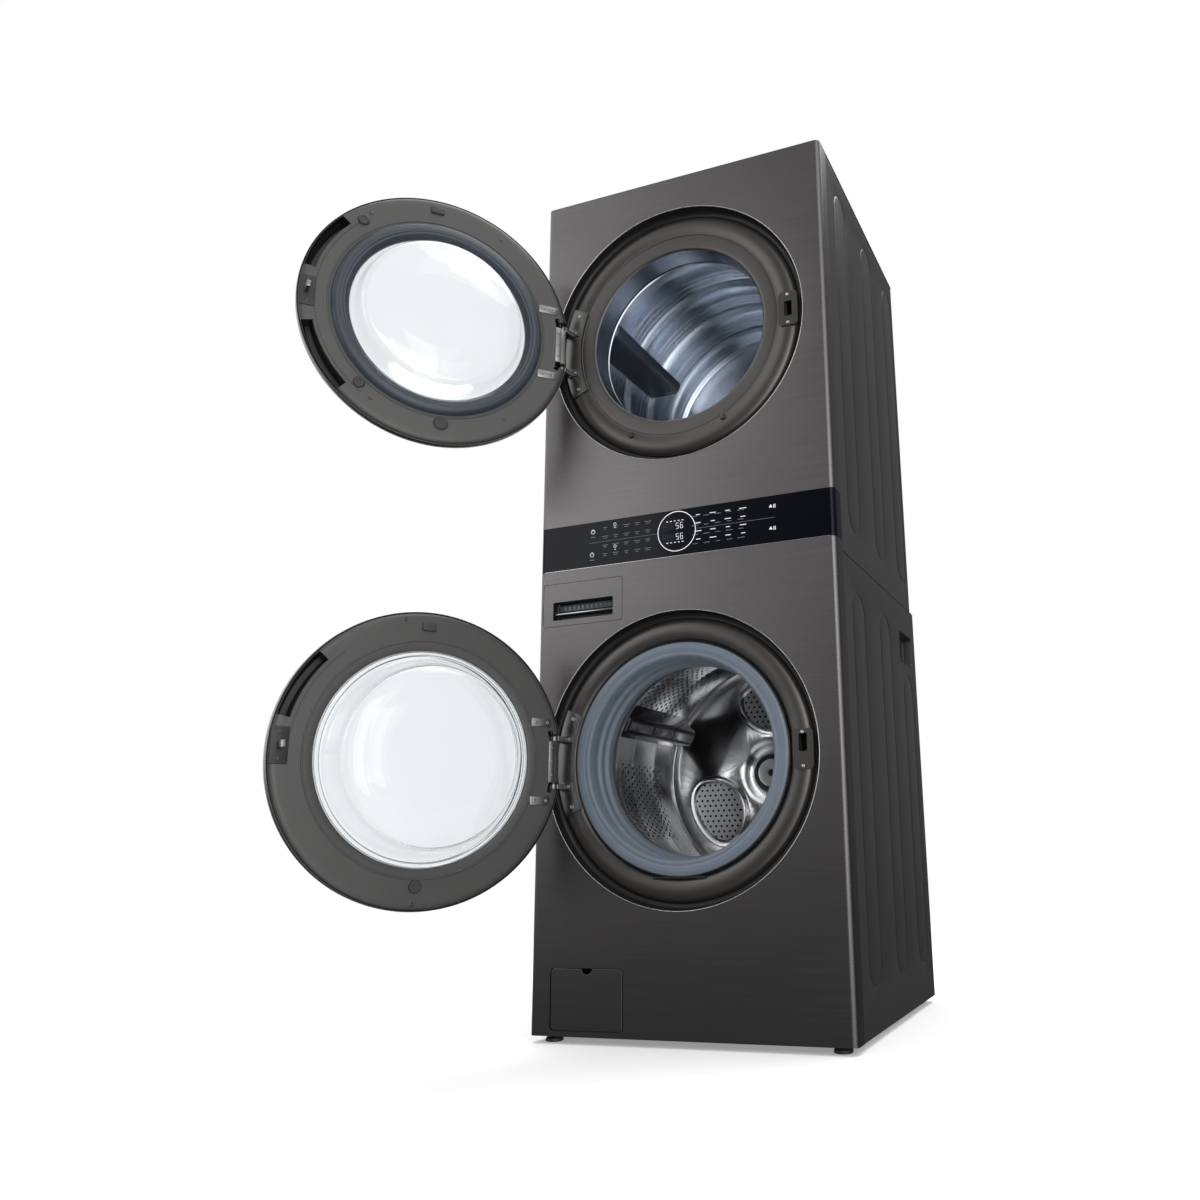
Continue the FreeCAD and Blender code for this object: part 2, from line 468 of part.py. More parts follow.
def belt_loop(big, small):
    """The closed outline around two circles."""
    spread = math.acos((big - small) / reach)
    ends = []
    for turn in (heading + spread, heading - spread):
        ends.append((V(OPENING_X + big * math.cos(turn), 0, DRYER_Z + big * math.sin(turn)),
                     V(MOTOR_X + small * math.cos(turn), 0, MOTOR_Z + small * math.sin(turn))))
    far_big = V(OPENING_X - big * math.cos(heading), 0, DRYER_Z - big * math.sin(heading))
    far_small = V(MOTOR_X + small * math.cos(heading), 0, MOTOR_Z + small * math.sin(heading))
    (a_big, a_small), (b_big, b_small) = ends
    edges = [Part.Arc(b_big, far_big, a_big).toShape(), Part.makeLine(a_big, a_small),
             Part.Arc(a_small, far_small, b_small).toShape(), Part.makeLine(b_small, b_big)]
    return Part.Face(Part.Wire(edges))


belt = belt_loop(belt_big + BELT, belt_small + BELT).cut(belt_loop(belt_big, belt_small))
belt = belt.extrude(V(0, 9, 0))
belt.translate(V(0, BELT_Y - 4.5, 0))
save("drive_belt", belt)

handle = box(LINT_X0 + 40, LINT_X1 - 40, LINT_Y0, LINT_Y1, DRYER_Z - 224, DRYER_Z - 200)
screen = box(LINT_X0 + 20, LINT_X1 - 20, LINT_Y0 + 4, LINT_Y1 - 4, DRYER_Z - 390, DRYER_Z - 224)
save("lint_filter", handle.fuse(screen))

# ---------------------------------------------------------------- doors
NOTCH_HALF = 60.0
GRIP_INNER_R = 259.0


def place(shape, z, angle):
    """Swings a piece from the closed place to the standing open angle."""
    moved = shape.copy()
    moved.rotate(V(HINGE_X, HINGE_Y, z), V(0, 0, 1), -angle)
    return moved


def finger_grip(z, start, end):
    """The room cut out of the inner ring where fingers reach behind the rim, between two angles."""
    block = pipe(DOOR_R - 2.4, GRIP_INNER_R, 25, OPENING_X, -365, z)
    wedge_points = [V(OPENING_X, -370, z)]
    for degrees in (start, (start + end) / 2, end):
        a = math.radians(degrees)
        wedge_points.append(V(OPENING_X + 420 * math.cos(a), -370, z + 420 * math.sin(a)))
    sector = Part.Face(Part.makePolygon(wedge_points + [wedge_points[0]])).extrude(V(0, 40, 0))
    return block.common(sector)


def door(kind, z, angle, latch_dz):
    """One round door, drawn closed and stored open: rim, window, inner ring, bowl and fittings."""
    shell = turned([(286.3, -351.5), (DOOR_R, -360), (284, -374), (272, -384), (WINDOW_R + 0.7, DOOR_FRONT_Y),
                    (WINDOW_R + 0.7, -384.4), (270.4, -380.4), (280.5, -372), (284.4, -360), (284.4, -351.5)],
                   OPENING_X, z)
    shell = shell.cut(box(HINGE_X - 20, HINGE_X + 14, -380, -340, z - NOTCH_HALF, z + NOTCH_HALF))
    save(kind + "_door_shell", place(shell, z, angle))
    window = turned([(0, -389.5), (120, -389.2), (WINDOW_R, -387.8), (WINDOW_R, -384), (0, -385)], OPENING_X, z)
    save(kind + "_door_window", place(window, z, angle))

    if kind == "washer":
        bowl = [(207.6, -357.5), (207.6, -352), (200, -350), (185, -339), (172, -302), (160, -291), (90, -286),
                (0, -284), (0, -288), (90, -290), (158, -295), (168.5, -304), (181.5, -341), (196, -353),
                (197, -357.5)]
        bumpers = [(8, 255, 14, 9), (12, -240, 13, 13)]
        grips = [(14, 42)]
    else:
        bowl = [(207.6, -357.5), (207.6, -353), (184, -353), (176, -346), (166, -318), (154, -309), (80, -304),
                (0, -302.5), (0, -306.5), (80, -308), (152, -313), (162.6, -321), (172.5, -348.5), (181, -357.5)]
        bumpers = [(18, 257, 15, 8), (168, 190, 13, 13), (156, -181, 13, 13), (-10, -240, 16, 16)]
        grips = [(11, 41), (-46, -14)]
        lip = [(222, -346.6), (216, -338), (206, -335), (194, -338), (185, -348), (185, -352.6), (207, -352.6),
               (207, -350.5), (211.5, -346.6)]
        save("dryer_door_seal", place(turned(lip, OPENING_X, z), z, angle))
    save(kind + "_door_glass", place(turned(bowl, OPENING_X, z), z, angle))

    ring = turned([(RING_BORE_R, -357), (RING_BORE_R, -350), (212, DOOR_BACK_Y), (274, DOOR_BACK_Y), (282, -350),
                   (284, -355), (284, -360), (281, -360), (280.5, -355.5), (273, -350.5), (213, -350.5),
                   (211, -357)], OPENING_X, z)
    ring = ring.fuse(box(LATCH_X - 17, LATCH_X + 15, -350.4, -345, z + latch_dz - 34, z + latch_dz + 34))
    ring = ring.cut(box(HINGE_X - 20, HINGE_X + 22, -365, -340, z - NOTCH_HALF, z + NOTCH_HALF))
    ring = ring.cut(box(LATCH_X - 8, LATCH_X + 8, -365, -340, z + latch_dz - 13, z + latch_dz + 13))
    for start, end in grips:
        ring = ring.cut(finger_grip(z, start, end))
    save(kind + "_door_ring", place(ring, z, angle))

    pads = []
    for bx, bz, wide, high in bumpers:
        mid_x, mid_z = OPENING_X + bx, z + bz
        block = box(mid_x - wide, mid_x + wide, DOOR_BACK_Y + 0.1, -342.5, mid_z - high, mid_z + high)
        pads.append(soft_corners(block, min(wide, high) - 0.5, 1))
    save(kind + "_door_bumpers", place(group(pads), z, angle))

    block_half = ARM_Z - ARM_HALF - 1.5
    pin_half = ARM_Z + ARM_HALF + 1
    leaf = box(HINGE_X - 4, HINGE_X + 21.5, -378, -352, z - block_half, z + block_half)
    leaf = leaf.fuse(box(HINGE_X + 8, HINGE_X + 21.5, -352, -346.5, z - block_half, z + block_half))
    leaf = leaf.fuse(rod(8.5, 2 * block_half, HINGE_X, HINGE_Y, z - block_half, (0, 0, 1)))
    leaf = leaf.fuse(rod(PIN_R, 2 * pin_half, HINGE_X, HINGE_Y, z - pin_half, (0, 0, 1)))
    save(kind + "_hinge_leaf", place(leaf, z, angle))

    hook_z = z + latch_dz
    stem = box(LATCH_X - 3, LATCH_X + 3, -356, -318, hook_z - 7, hook_z + 7)
    nose = box(LATCH_X - 6, LATCH_X + 3, -324, -318, hook_z - 7, hook_z + 7)
    root = box(LATCH_X - 6, LATCH_X + 6, -360, -352, hook_z - 11, hook_z + 11)
    save(kind + "_door_hook", place(stem.fuse(nose).fuse(root), z, angle))


door("washer", WASHER_Z, WASHER_DOOR_OPEN, WASHER_LATCH_DZ)
door("dryer", DRYER_Z, DRYER_DOOR_OPEN, DRYER_LATCH_DZ)
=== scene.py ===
import json
import math

import bmesh
import bpy
from mathutils import Matrix, Vector


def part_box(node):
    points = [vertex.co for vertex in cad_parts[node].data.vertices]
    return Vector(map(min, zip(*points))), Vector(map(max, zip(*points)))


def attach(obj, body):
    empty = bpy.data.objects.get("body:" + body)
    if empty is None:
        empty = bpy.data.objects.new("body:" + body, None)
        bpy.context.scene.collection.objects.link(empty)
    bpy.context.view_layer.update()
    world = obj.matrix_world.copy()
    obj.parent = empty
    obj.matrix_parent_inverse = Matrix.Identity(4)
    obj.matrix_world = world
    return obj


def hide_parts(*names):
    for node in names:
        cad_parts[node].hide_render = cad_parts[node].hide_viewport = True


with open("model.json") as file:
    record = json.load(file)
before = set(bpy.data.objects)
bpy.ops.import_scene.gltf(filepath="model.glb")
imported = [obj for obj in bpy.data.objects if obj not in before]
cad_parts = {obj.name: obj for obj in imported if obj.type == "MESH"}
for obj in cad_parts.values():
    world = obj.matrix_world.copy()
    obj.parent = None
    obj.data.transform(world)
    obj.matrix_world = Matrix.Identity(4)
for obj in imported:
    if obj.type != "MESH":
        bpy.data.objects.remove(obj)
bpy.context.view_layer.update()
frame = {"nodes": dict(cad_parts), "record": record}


# ---- studio ----
# A pale floor and pale surroundings, an overhead softbox and two in front. Reflections see surroundings that
# are dim low down and brighter high on the left, which gives dark steel part of its long gradient; the rest is
# painted shade in the steel's own colour, darker towards the floor.
class Value:
    """One output of a shader node. Arithmetic on it adds Math nodes, and node() adds any other node."""

    def __init__(self, tree, socket):
        self.tree = tree
        self.socket = socket

    def node(self, kind, sockets=(), output=0, stops=(), **settings):
        made = self.tree.nodes.new("ShaderNode" + kind)
        for key, setting in settings.items():
            setattr(made, key, setting)
        for place, (position, colour) in enumerate(stops):
            ramp = made.color_ramp.elements
            stop = ramp[place] if place < 2 else ramp.new(position)
            stop.position = position
            stop.color = (*colour, 1)
        for key, value in dict(sockets).items():
            if isinstance(value, Value):
                self.tree.links.new(value.socket, made.inputs[key])
            else:
                made.inputs[key].default_value = value
        return Value(self.tree, made.outputs[output])

    def maths(self, operation, first, second=0.0, third=0.0):
        return self.node("Math", {0: first, 1: second, 2: third}, operation=operation)

    def __add__(self, other):
        return self.maths("ADD", self, other)

    def __radd__(self, other):
        return self.maths("ADD", other, self)

    def __sub__(self, other):
        return self.maths("SUBTRACT", self, other)

    def __rsub__(self, other):
        return self.maths("SUBTRACT", other, self)

    def __mul__(self, other):
        return self.maths("MULTIPLY", self, other)

    def __rmul__(self, other):
        return self.maths("MULTIPLY", other, self)

    def __truediv__(self, other):
        return self.maths("DIVIDE", self, other)

    def ramp(self, low, high):
        """0 at low and 1 at high, smooth between and level beyond. Swapped limits turn it round."""
        return self.node("MapRange", {"Value": self, "From Min": low, "From Max": high},
                         interpolation_type="SMOOTHSTEP")

    def tint(self, dark, light):
        """A colour between two, as this value goes from 0 to 1."""
        return self.node("Mix", {0: self, 6: colour4(dark), 7: colour4(light)}, output=2, data_type="RGBA")

    def axes(self):
        """The three numbers of a vector."""
        split = self.tree.nodes.new("ShaderNodeSeparateXYZ")
        self.tree.links.new(self.socket, split.inputs[0])
        return [Value(self.tree, out) for out in split.outputs]


def colour4(colour):
    """A colour with its alpha, unless it is already a node's output."""
    return colour if isinstance(colour, Value) else (*colour, 1)


bpy.context.scene.view_settings.view_transform = "Standard"
world = bpy.data.worlds.new("studio")
bpy.context.scene.world = world
world.use_nodes = True
air = world.node_tree
ray = Value(air, air.nodes.new("ShaderNodeTexCoord").outputs["Generated"])
path = air.nodes.new("ShaderNodeLightPath")
glossy = Value(air, path.outputs["Is Glossy Ray"])
through = Value(air, path.outputs["Is Transmission Ray"])
soft = Value(air, path.outputs["Is Diffuse Ray"])
ray_x, ray_y, ray_z = ray.axes()
SEEN = 1.0
AMBIENT = 0.55
front_right = ray_x.ramp(0.08, 0.36) * ray_y.ramp(0.0, -0.40)
mirrored = 0.08 + ray_z.ramp(-0.14, 0.12) * (0.06 + 1.0 * ray_x.ramp(-0.15, -0.60)) + front_right * 1.2
strength = SEEN + glossy * (1 - through) * (mirrored - SEEN)
strength = strength + soft * (AMBIENT - strength)
backdrop = air.nodes["Background"]
backdrop.inputs["Color"].default_value = (1, 1, 1, 1)
air.links.new(strength.socket, backdrop.inputs["Strength"])

FLOOR_HALF = 8.0
floor_shape = bmesh.new()
bmesh.ops.create_grid(floor_shape, x_segments=1, y_segments=1, size=FLOOR_HALF)
floor_mesh = bpy.data.meshes.new("floor")
floor_shape.to_mesh(floor_mesh)
floor_shape.free()
floor = bpy.data.objects.new("floor", floor_mesh)
bpy.context.scene.collection.objects.link(floor)
floor_paint = bpy.data.materials.new("pale_floor")
floor_paint.use_nodes = True
floor_paint.node_tree.nodes["Principled BSDF"].inputs["Base Color"].default_value = (0.92, 0.92, 0.92, 1)
floor_paint.node_tree.nodes["Principled BSDF"].inputs["Roughness"].default_value = 0.95
floor_paint.node_tree.nodes["Principled BSDF"].inputs["Emission Color"].default_value = (1, 1, 1, 1)
floor_paint.node_tree.nodes["Principled BSDF"].inputs["Emission Strength"].default_value = 0.25
floor_tree = floor_paint.node_tree
on_floor = Value(floor_tree, floor_tree.nodes.new("ShaderNodeTexCoord").outputs["Object"])
from_middle = on_floor.node("VectorMath", {0: on_floor}, output=1, operation="LENGTH")
floor_tree.links.new(from_middle.ramp(3.0, 1.5).socket, floor_tree.nodes["Principled BSDF"].inputs["Alpha"])
floor_mesh.materials.append(floor_paint)
floor.visible_glossy = False
floor.visible_diffuse = False


def softbox(name, place, target, wide, high, glow):
    """A rectangular light at place that faces target. glow is the brightness of its face."""
    lamp = bpy.data.lights.new(name, "AREA")
    lamp.shape = "RECTANGLE"
    lamp.size, lamp.size_y = wide, high
    lamp.energy = glow * math.pi * wide * high
    holder = bpy.data.objects.new(name, lamp)
    aim = (Vector(target) - Vector(place)).to_track_quat("-Z", "Y").to_matrix().to_4x4()
    holder.matrix_world = Matrix.Translation(place) @ aim
    holder.visible_camera = False
    bpy.context.scene.collection.objects.link(holder)


softbox("overhead", (0.0, 0.6, 4.6), (0.0, 0.0, 0.0), 6.0, 4.0, 3.0)
softbox("front_left", (-2.9, -4.2, 2.9), (-0.2, -0.35, 1.25), 1.8, 2.2, 1.3)
softbox("front_right", (3.6, -3.3, 1.5), (0.2, -0.3, 1.0), 1.6, 3.0, 1.0)
softbox("into_the_drums", (1.7, -2.5, 1.1), (-0.1, 0.0, 1.1), 0.9, 2.2, 2.2)

lens = bpy.data.cameras.new("camera")
lens.sensor_width = 36.0
lens.lens = 30.715
lens.shift_x = -0.1378
lens.shift_y = 0.012
camera = bpy.data.objects.new("camera", lens)
looking = Vector((-0.33485, 0.91507, 0.22475)).normalized()
across = Vector((0.93668, 0.34920, -0.02622))
across = (across - looking * across.dot(looking)).normalized()
above = across.cross(looking)
facing = Matrix((across, above, -looking)).transposed().to_4x4()
camera.matrix_world = Matrix.Translation((0.8804, -2.2422, 0.3645)) @ facing
bpy.context.scene.collection.objects.link(camera)
bpy.context.scene.camera = camera


# ---- feet ----
# Four levelling feet: a black moulded pad under a blue-passivated zinc stem with a coarse thread. Each screws
# up into the base pan. Shapes are drawn in millimetres, and place_piece turns them into metres.
MM = 0.001


class Finish:
    """A Principled material for one of the tower's surfaces. Its patterns are measured in metres."""

    def __init__(self, name, **fixed):
        self.material = bpy.data.materials.new(name)
        self.material.use_nodes = True
        self.tree = self.material.node_tree
        self.shader = self.tree.nodes["Principled BSDF"]
        for key, value in fixed.items():
            self.shader.inputs[key.replace("_", " ").title().replace("Ior", "IOR")].default_value = value
        self.place = Value(self.tree, self.tree.nodes.new("ShaderNodeTexCoord").outputs["Object"])

    def noise(self, scale, detail=2.0, stretch=None):
        """Cloudy noise with so many cells to the metre, finer along an axis whose stretch is over 1."""
        spot = self.place
        if stretch:
            spot = spot.node("Mapping", {"Vector": spot, "Scale": stretch})
        return spot.node("TexNoise", {"Vector": spot, "Scale": scale, "Detail": detail})

    def around(self, centre):
        """Radius and angle about an axle along Y through a point in metres, and the place along it."""
        x, y, z = self.place.axes()
        dx, dz = x - centre[0], z - centre[2]
        return (dx * dx + dz * dz).maths("SQRT", dx * dx + dz * dz), dx.maths("ARCTAN2", dz, dx), y

    def drive(self, socket, value):
        self.tree.links.new(value.socket, self.shader.inputs[socket])

    def relief(self, height, strength, depth=0.0005):
        self.drive("Normal", height.node("Bump", {"Height": height, "Strength": strength, "Distance": depth}))


def satin(name, dark, light, roughness, grain=900.0, relief=0.12, **fixed):
    """A moulded or painted surface: two close tones in clouds, with fine grain in its gloss and relief."""
    made = Finish(name, **fixed)
    cloud = made.noise(7.0, 4.0)
    fine = made.noise(grain)
    made.drive("Base Color", (cloud * 0.6 + fine * 0.4).tint(dark, light))
    made.drive("Roughness", cloud * 0.06 + fine * 0.06 + (roughness - 0.06))
    made.relief(fine, relief)
    return made.material


def place_piece(name, shape, material, body, slot, *replaced, crease=0.6, outward=None, wall=0.0):
    """Makes a shape in millimetres a piece that rides on a body. A sheet faces outward and gets its wall."""
    bmesh.ops.remove_doubles(shape, verts=shape.verts, dist=1e-4)
    bmesh.ops.scale(shape, verts=shape.verts, vec=(MM, MM, MM))
    bmesh.ops.recalc_face_normals(shape, faces=shape.faces)
    if outward:
        facing_sum = sum((face.normal * face.calc_area() for face in shape.faces), Vector())
        if facing_sum.dot(Vector(outward)) < 0:
            bmesh.ops.reverse_faces(shape, faces=shape.faces)
    for face in shape.faces:
        face.smooth = True
    for edge in shape.edges:
        edge.smooth = len(edge.link_faces) == 2 and edge.calc_face_angle() < crease
    mesh = bpy.data.meshes.new(name)
    shape.to_mesh(mesh)
    shape.free()
    mesh.materials.append(material)
    piece = bpy.data.objects.new(name, mesh)
    bpy.context.scene.collection.objects.link(piece)
    if wall:
        thicken = piece.modifiers.new("wall", "SOLIDIFY")
        thicken.thickness = wall * MM
        thicken.offset = -1.0
    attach(piece, body)
    if replaced:
        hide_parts(*replaced)
    return piece


def limits(node):
    """The lowest and highest corners of a CAD node in millimetres."""
    low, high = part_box(node)
    return Vector(low) / MM, Vector(high) / MM


def turned(shape, outline, centre, axis=(0, 1, 0), steps=96, closed=True):
    """Turns an outline of (radius, along) points fully round an axle through centre."""
    along = Vector(axis)
    out = Vector((1, 0, 0))
    verts = [shape.verts.new(Vector(centre) + out * r + along * a) for r, a in outline]
    pairs = list(zip(verts, verts[1:])) + ([(verts[-1], verts[0])] if closed else [])
    edges = [shape.edges.new(pair) for pair in pairs]
    made = bmesh.ops.spin(shape, geom=verts + edges, cent=centre, axis=along, angle=2 * math.pi, steps=steps,
                          use_merge=True)
    return made


def block(shape, low, high, radius=0.0, segments=2, tilt=None):
    """A block between two corners with rounded edges, moved by tilt afterwards."""
    low, high = Vector(low), Vector(high)
    made = bmesh.ops.create_cube(shape, size=1.0)["verts"]
    bmesh.ops.scale(shape, verts=made, vec=high - low)
    bmesh.ops.translate(shape, verts=made, vec=(low + high) / 2)
    if tilt:
        bmesh.ops.transform(shape, verts=made, matrix=tilt)
    if radius:
        edges = list({edge for vert in made for edge in vert.link_edges})
        bmesh.ops.bevel(shape, geom=edges, offset=radius, affect="EDGES", segments=segments, profile=0.5,
                        material=-1, clamp_overlap=True)


def rod(shape, radius, length, start, axis=(0, 1, 0), steps=24, edge=0.0, tip=None):
    """A round bar from start along axis, with its edges broken."""
    along = Vector(axis).normalized()
    made = bmesh.ops.create_cone(shape, cap_ends=True, segments=steps, radius1=radius,
                                 radius2=radius if tip is None else tip, depth=length)["verts"]
    stand = along.to_track_quat("Z", "Y").to_matrix().to_4x4()
    bmesh.ops.transform(shape, verts=made,
                        matrix=Matrix.Translation(Vector(start) + along * length / 2) @ stand)
    if edge:
        rims = list({e for vert in made for e in vert.link_edges if e.calc_face_angle(0.0) > 0.8})
        bmesh.ops.bevel(shape, geom=rims, offset=edge, affect="EDGES", segments=2, profile=0.5, material=-1)


pad_rubber = satin("foot_pad_black", (0.012, 0.012, 0.013), (0.03, 0.03, 0.032), 0.55)
blue_zinc = satin("blue_zinc", (0.28, 0.36, 0.44), (0.43, 0.53, 0.60), 0.3, metallic=1.0)
THREAD_PITCH = 2.0
feet = ("front_left", "front_right", "rear_left", "rear_right")
for corner in feet:
    low, high = limits("foot_" + corner)
    middle = Vector(((low.x + high.x) / 2, (low.y + high.y) / 2, 0))
    pad_r = (high.x - low.x) / 2
    pad = bmesh.new()
    turned(pad, [(0, 0), (pad_r - 2, 0), (pad_r, 1.5), (pad_r, 6), (pad_r - 1.5, 8), (pad_r - 4, 8.5),
                 (10.5, 12.5), (9.5, 15.5), (0, 15.5)], middle, (0, 0, 1), 40, closed=False)
    place_piece("foot_pad_" + corner, pad, pad_rubber, "foot_" + corner, "foot_steel", "foot_" + corner)
    stem = bmesh.new()
    thread = [(0, 15), (8.5, 15), (8.5, 17.5), (5, 17.8)]
    for k in range(19):
        thread += [(4.25, 18 + k * THREAD_PITCH), (5, 19 + k * THREAD_PITCH)]
    turned(stem, thread + [(4, high.z - 1), (0, high.z - 1)], middle, (0, 0, 1), 20, closed=False)
    place_piece("foot_stem_" + corner, stem, blue_zinc, "foot_" + corner, "foot_steel")

# ---- base pan ----
# A galvanised steel pan that the cabinet stands on, with a boss over each foot and a hexagon nut that locks
# the foot's stem.
nuts = bmesh.new()
for corner in feet:
    low, high = limits("foot_" + corner)
    rod(nuts, 9.8, 5.5, ((low.x + high.x) / 2, (low.y + high.y) / 2, 18.3), (0, 0, 1), 6, 0.6)
place_piece("lock_nuts_hexagon", nuts, blue_zinc, "cabinet", "dark_steel", "foot_lock_nuts")


def coat(material, *nodes):
    """Gives a material to CAD nodes whose shape stays."""
    for node in nodes:
        for holder in frame["nodes"][node].material_slots:
            holder.material = material


def galvanised(name, dark, light, roughness, flake=160.0):
    """Zinc-coated steel sheet: flat crystals of slightly different greys."""
    made = Finish(name, metallic=1.0)
    crystal = made.place.node("TexVoronoi", {"Vector": made.place, "Scale": flake}, output=1)
    tone = crystal.node("RGBToBW", {0: crystal})
    made.drive("Base Color", tone.tint(dark, light))
    made.drive("Roughness", tone * 0.16 + made.noise(30.0) * 0.08 + (roughness - 0.1))
    made.relief(made.noise(500.0), 0.06)
    return made.material


pan_zinc = galvanised("pan_zinc", (0.16, 0.165, 0.17), (0.30, 0.305, 0.31), 0.42)
coat(pan_zinc, "base_pan", "dryer_floor")

# ---- side panels ----
# Pre-painted dark sheet steel, one panel for each cabinet on each side. Three tall loops are pressed into
# each panel to stiffen it. The washer's panels have a hand grip near the back.
SHEET = 1.0


def rounded(u0, u1, v0, v1, radius, steps=6):
    """The corners of a rounded rectangle, as (u, v) points in order."""
    points = []
    for cu, cv, start in ((u1 - radius, v1 - radius, 0), (u0 + radius, v1 - radius, 90),
                          (u0 + radius, v0 + radius, 180), (u1 - radius, v0 + radius, 270)):
        for k in range(steps + 1):
            turn = math.radians(start + 90 * k / steps)
            points.append((cu + radius * math.cos(turn), cv + radius * math.sin(turn)))
    return points


def circle(cu, cv, radius, steps=48):
    """Points round a circle."""
    return [(cu + radius * math.cos(2 * math.pi * k / steps), cv + radius * math.sin(2 * math.pi * k / steps))
            for k in range(steps)]


def cut_sheet(shape, plane, outline, holes):
    """A flat sheet with holes. plane gives the place of a (u, v) point. Returns the points of each hole."""
    rings = []
    edges = []
    for points in [outline] + list(holes):
        ring = [shape.verts.new(plane(u, v)) for u, v in points]
        edges += [shape.edges.new((a, b)) for a, b in zip(ring, ring[1:] + ring[:1])]
        rings.append(ring)
    bmesh.ops.triangle_fill(shape, use_beauty=True, edges=edges)
    return rings[1:]


def press(shape, ring, outward, steps):
    """Closes a hole and presses it in steps of (width, depth), depth being towards outward."""
    face = shape.faces.new(ring)
    face.normal_update()
    if face.normal.dot(Vector(outward)) < 0:
        face.normal_flip()
    for width, depth in steps:
        bmesh.ops.inset_region(shape, faces=[face], thickness=width, depth=depth, use_even_offset=True)


side_paint = satin("side_paint", (0.017, 0.016, 0.0156), (0.027, 0.0258, 0.025), 0.36, grain=1400.0, relief=0.1,
                   coat_weight=0.25, coat_roughness=0.25)
LOOP_CENTRES = (-195.0, 35.0, 250.0)
LOOP_HALF = 52.0
GROOVE = ((2.5, -0.5), (2.0, -0.9), (2.0, 0.0), (2.0, 0.9), (2.5, 0.5))
for cabinet, loop_z0, loop_z1 in (("washer", 95, 893), ("dryer", 1020, 1843)):
    for side, sign in (("left", -1), ("right", 1)):
        low, high = limits(cabinet + "_side_" + side)
        outer_x = low.x if sign < 0 else high.x
        y0, y1, z0, z1 = low.y, high.y, low.z, high.z
        panel = bmesh.new()

        def on_side(u, v, x=outer_x):
            return Vector((x, u, v))

        loops = [rounded(c - LOOP_HALF, c + LOOP_HALF, loop_z0, loop_z1, LOOP_HALF - 1, 10) for c in LOOP_CENTRES]
        holes = list(loops)
        if cabinet == "washer":
            grip_low, grip_high = limits("side_grips")
            holes = loops[:2]
            holes.append(rounded(grip_low.y - 0.3, grip_high.y + 0.3, grip_low.z - 0.3, grip_high.z + 0.3, 12))
            short = LOOP_CENTRES[2]
            loops = loops[:2] + [rounded(short - LOOP_HALF, short + LOOP_HALF, loop_z0, grip_low.z - 26,
                                         LOOP_HALF - 1, 10)]
            holes = loops + holes[2:]
        rings = cut_sheet(panel, on_side, [(y0, z0), (y1, z0), (y1, z1), (y0, z1)], holes)
        for ring in rings[:3]:
            press(panel, ring, (sign, 0, 0), GROOVE)
        place_piece(cabinet + "_side_sheet_" + side, panel, side_paint, "cabinet", "side_paint",
                    cabinet + "_side_" + side, outward=(sign, 0, 0), wall=SHEET, crease=0.35)

# Black moulded cups behind the two grip holes, with a rolled front edge.
cup_plastic = satin("grip_black", (0.010, 0.010, 0.011), (0.022, 0.022, 0.023), 0.5)
cups = bmesh.new()
grip_low, grip_high = limits("side_grips")
for sign in (-1, 1):
    rings = []
    for inset, x in ((0.0, 342.4), (1.5, 342.9), (3.2, 342.4), (4.0, 340), (5.0, 322), (8.0, 318), (12.0, 317)):
        points = rounded(grip_low.y + inset, grip_high.y - inset, grip_low.z + inset, grip_high.z - inset,
                         max(12 - inset * 0.4, 4))
        ring = [cups.verts.new((sign * x, u, v)) for u, v in points]
        rings.append([cups.edges.new(pair) for pair in zip(ring, ring[1:] + ring[:1])])
    for first, second in zip(rings, rings[1:]):
        bmesh.ops.bridge_loops(cups, edges=first + second)
    bmesh.ops.contextual_create(cups, geom=rings[-1])
place_piece("side_grip_cups", cups, cup_plastic, "cabinet", "black_plastic", "side_grips", wall=1.5,
            crease=0.5)

# ---- back covers ----
# Two galvanised sheets screwed over the back, with pressed stiffening ribs, a row of vents, and holes for the
# hoses, the cord and the exhaust pipe.
cover_low, cover_high = limits("back_panels")
seam_z = limits("dryer_floor")[0].z
washer_back_y = cover_high.y
dryer_back_y = limits("dryer_side_left")[1].y + 2.1
cover_zinc = galvanised("cover_zinc", (0.24, 0.245, 0.25), (0.40, 0.405, 0.41), 0.38, 220.0)
half_cover = cover_high.x
HOT = (285.0, 900.0, 13.2)
COLD = (225.0, 900.0, 13.2)
DRAIN = (-255.0, 880.0, 12.0)
GLAND = (265.0, 1010.0, 16.0)
EXHAUST = (-60.0, 1075.0, 50.8)
dryer_axle = ((limits("dryer_drum")[0] + limits("dryer_drum")[1]) / 2)
axle_x = dryer_axle.x
washer_z = ((limits("washer_drum")[0] + limits("washer_drum")[1]) / 2).z
dryer_z = dryer_axle.z


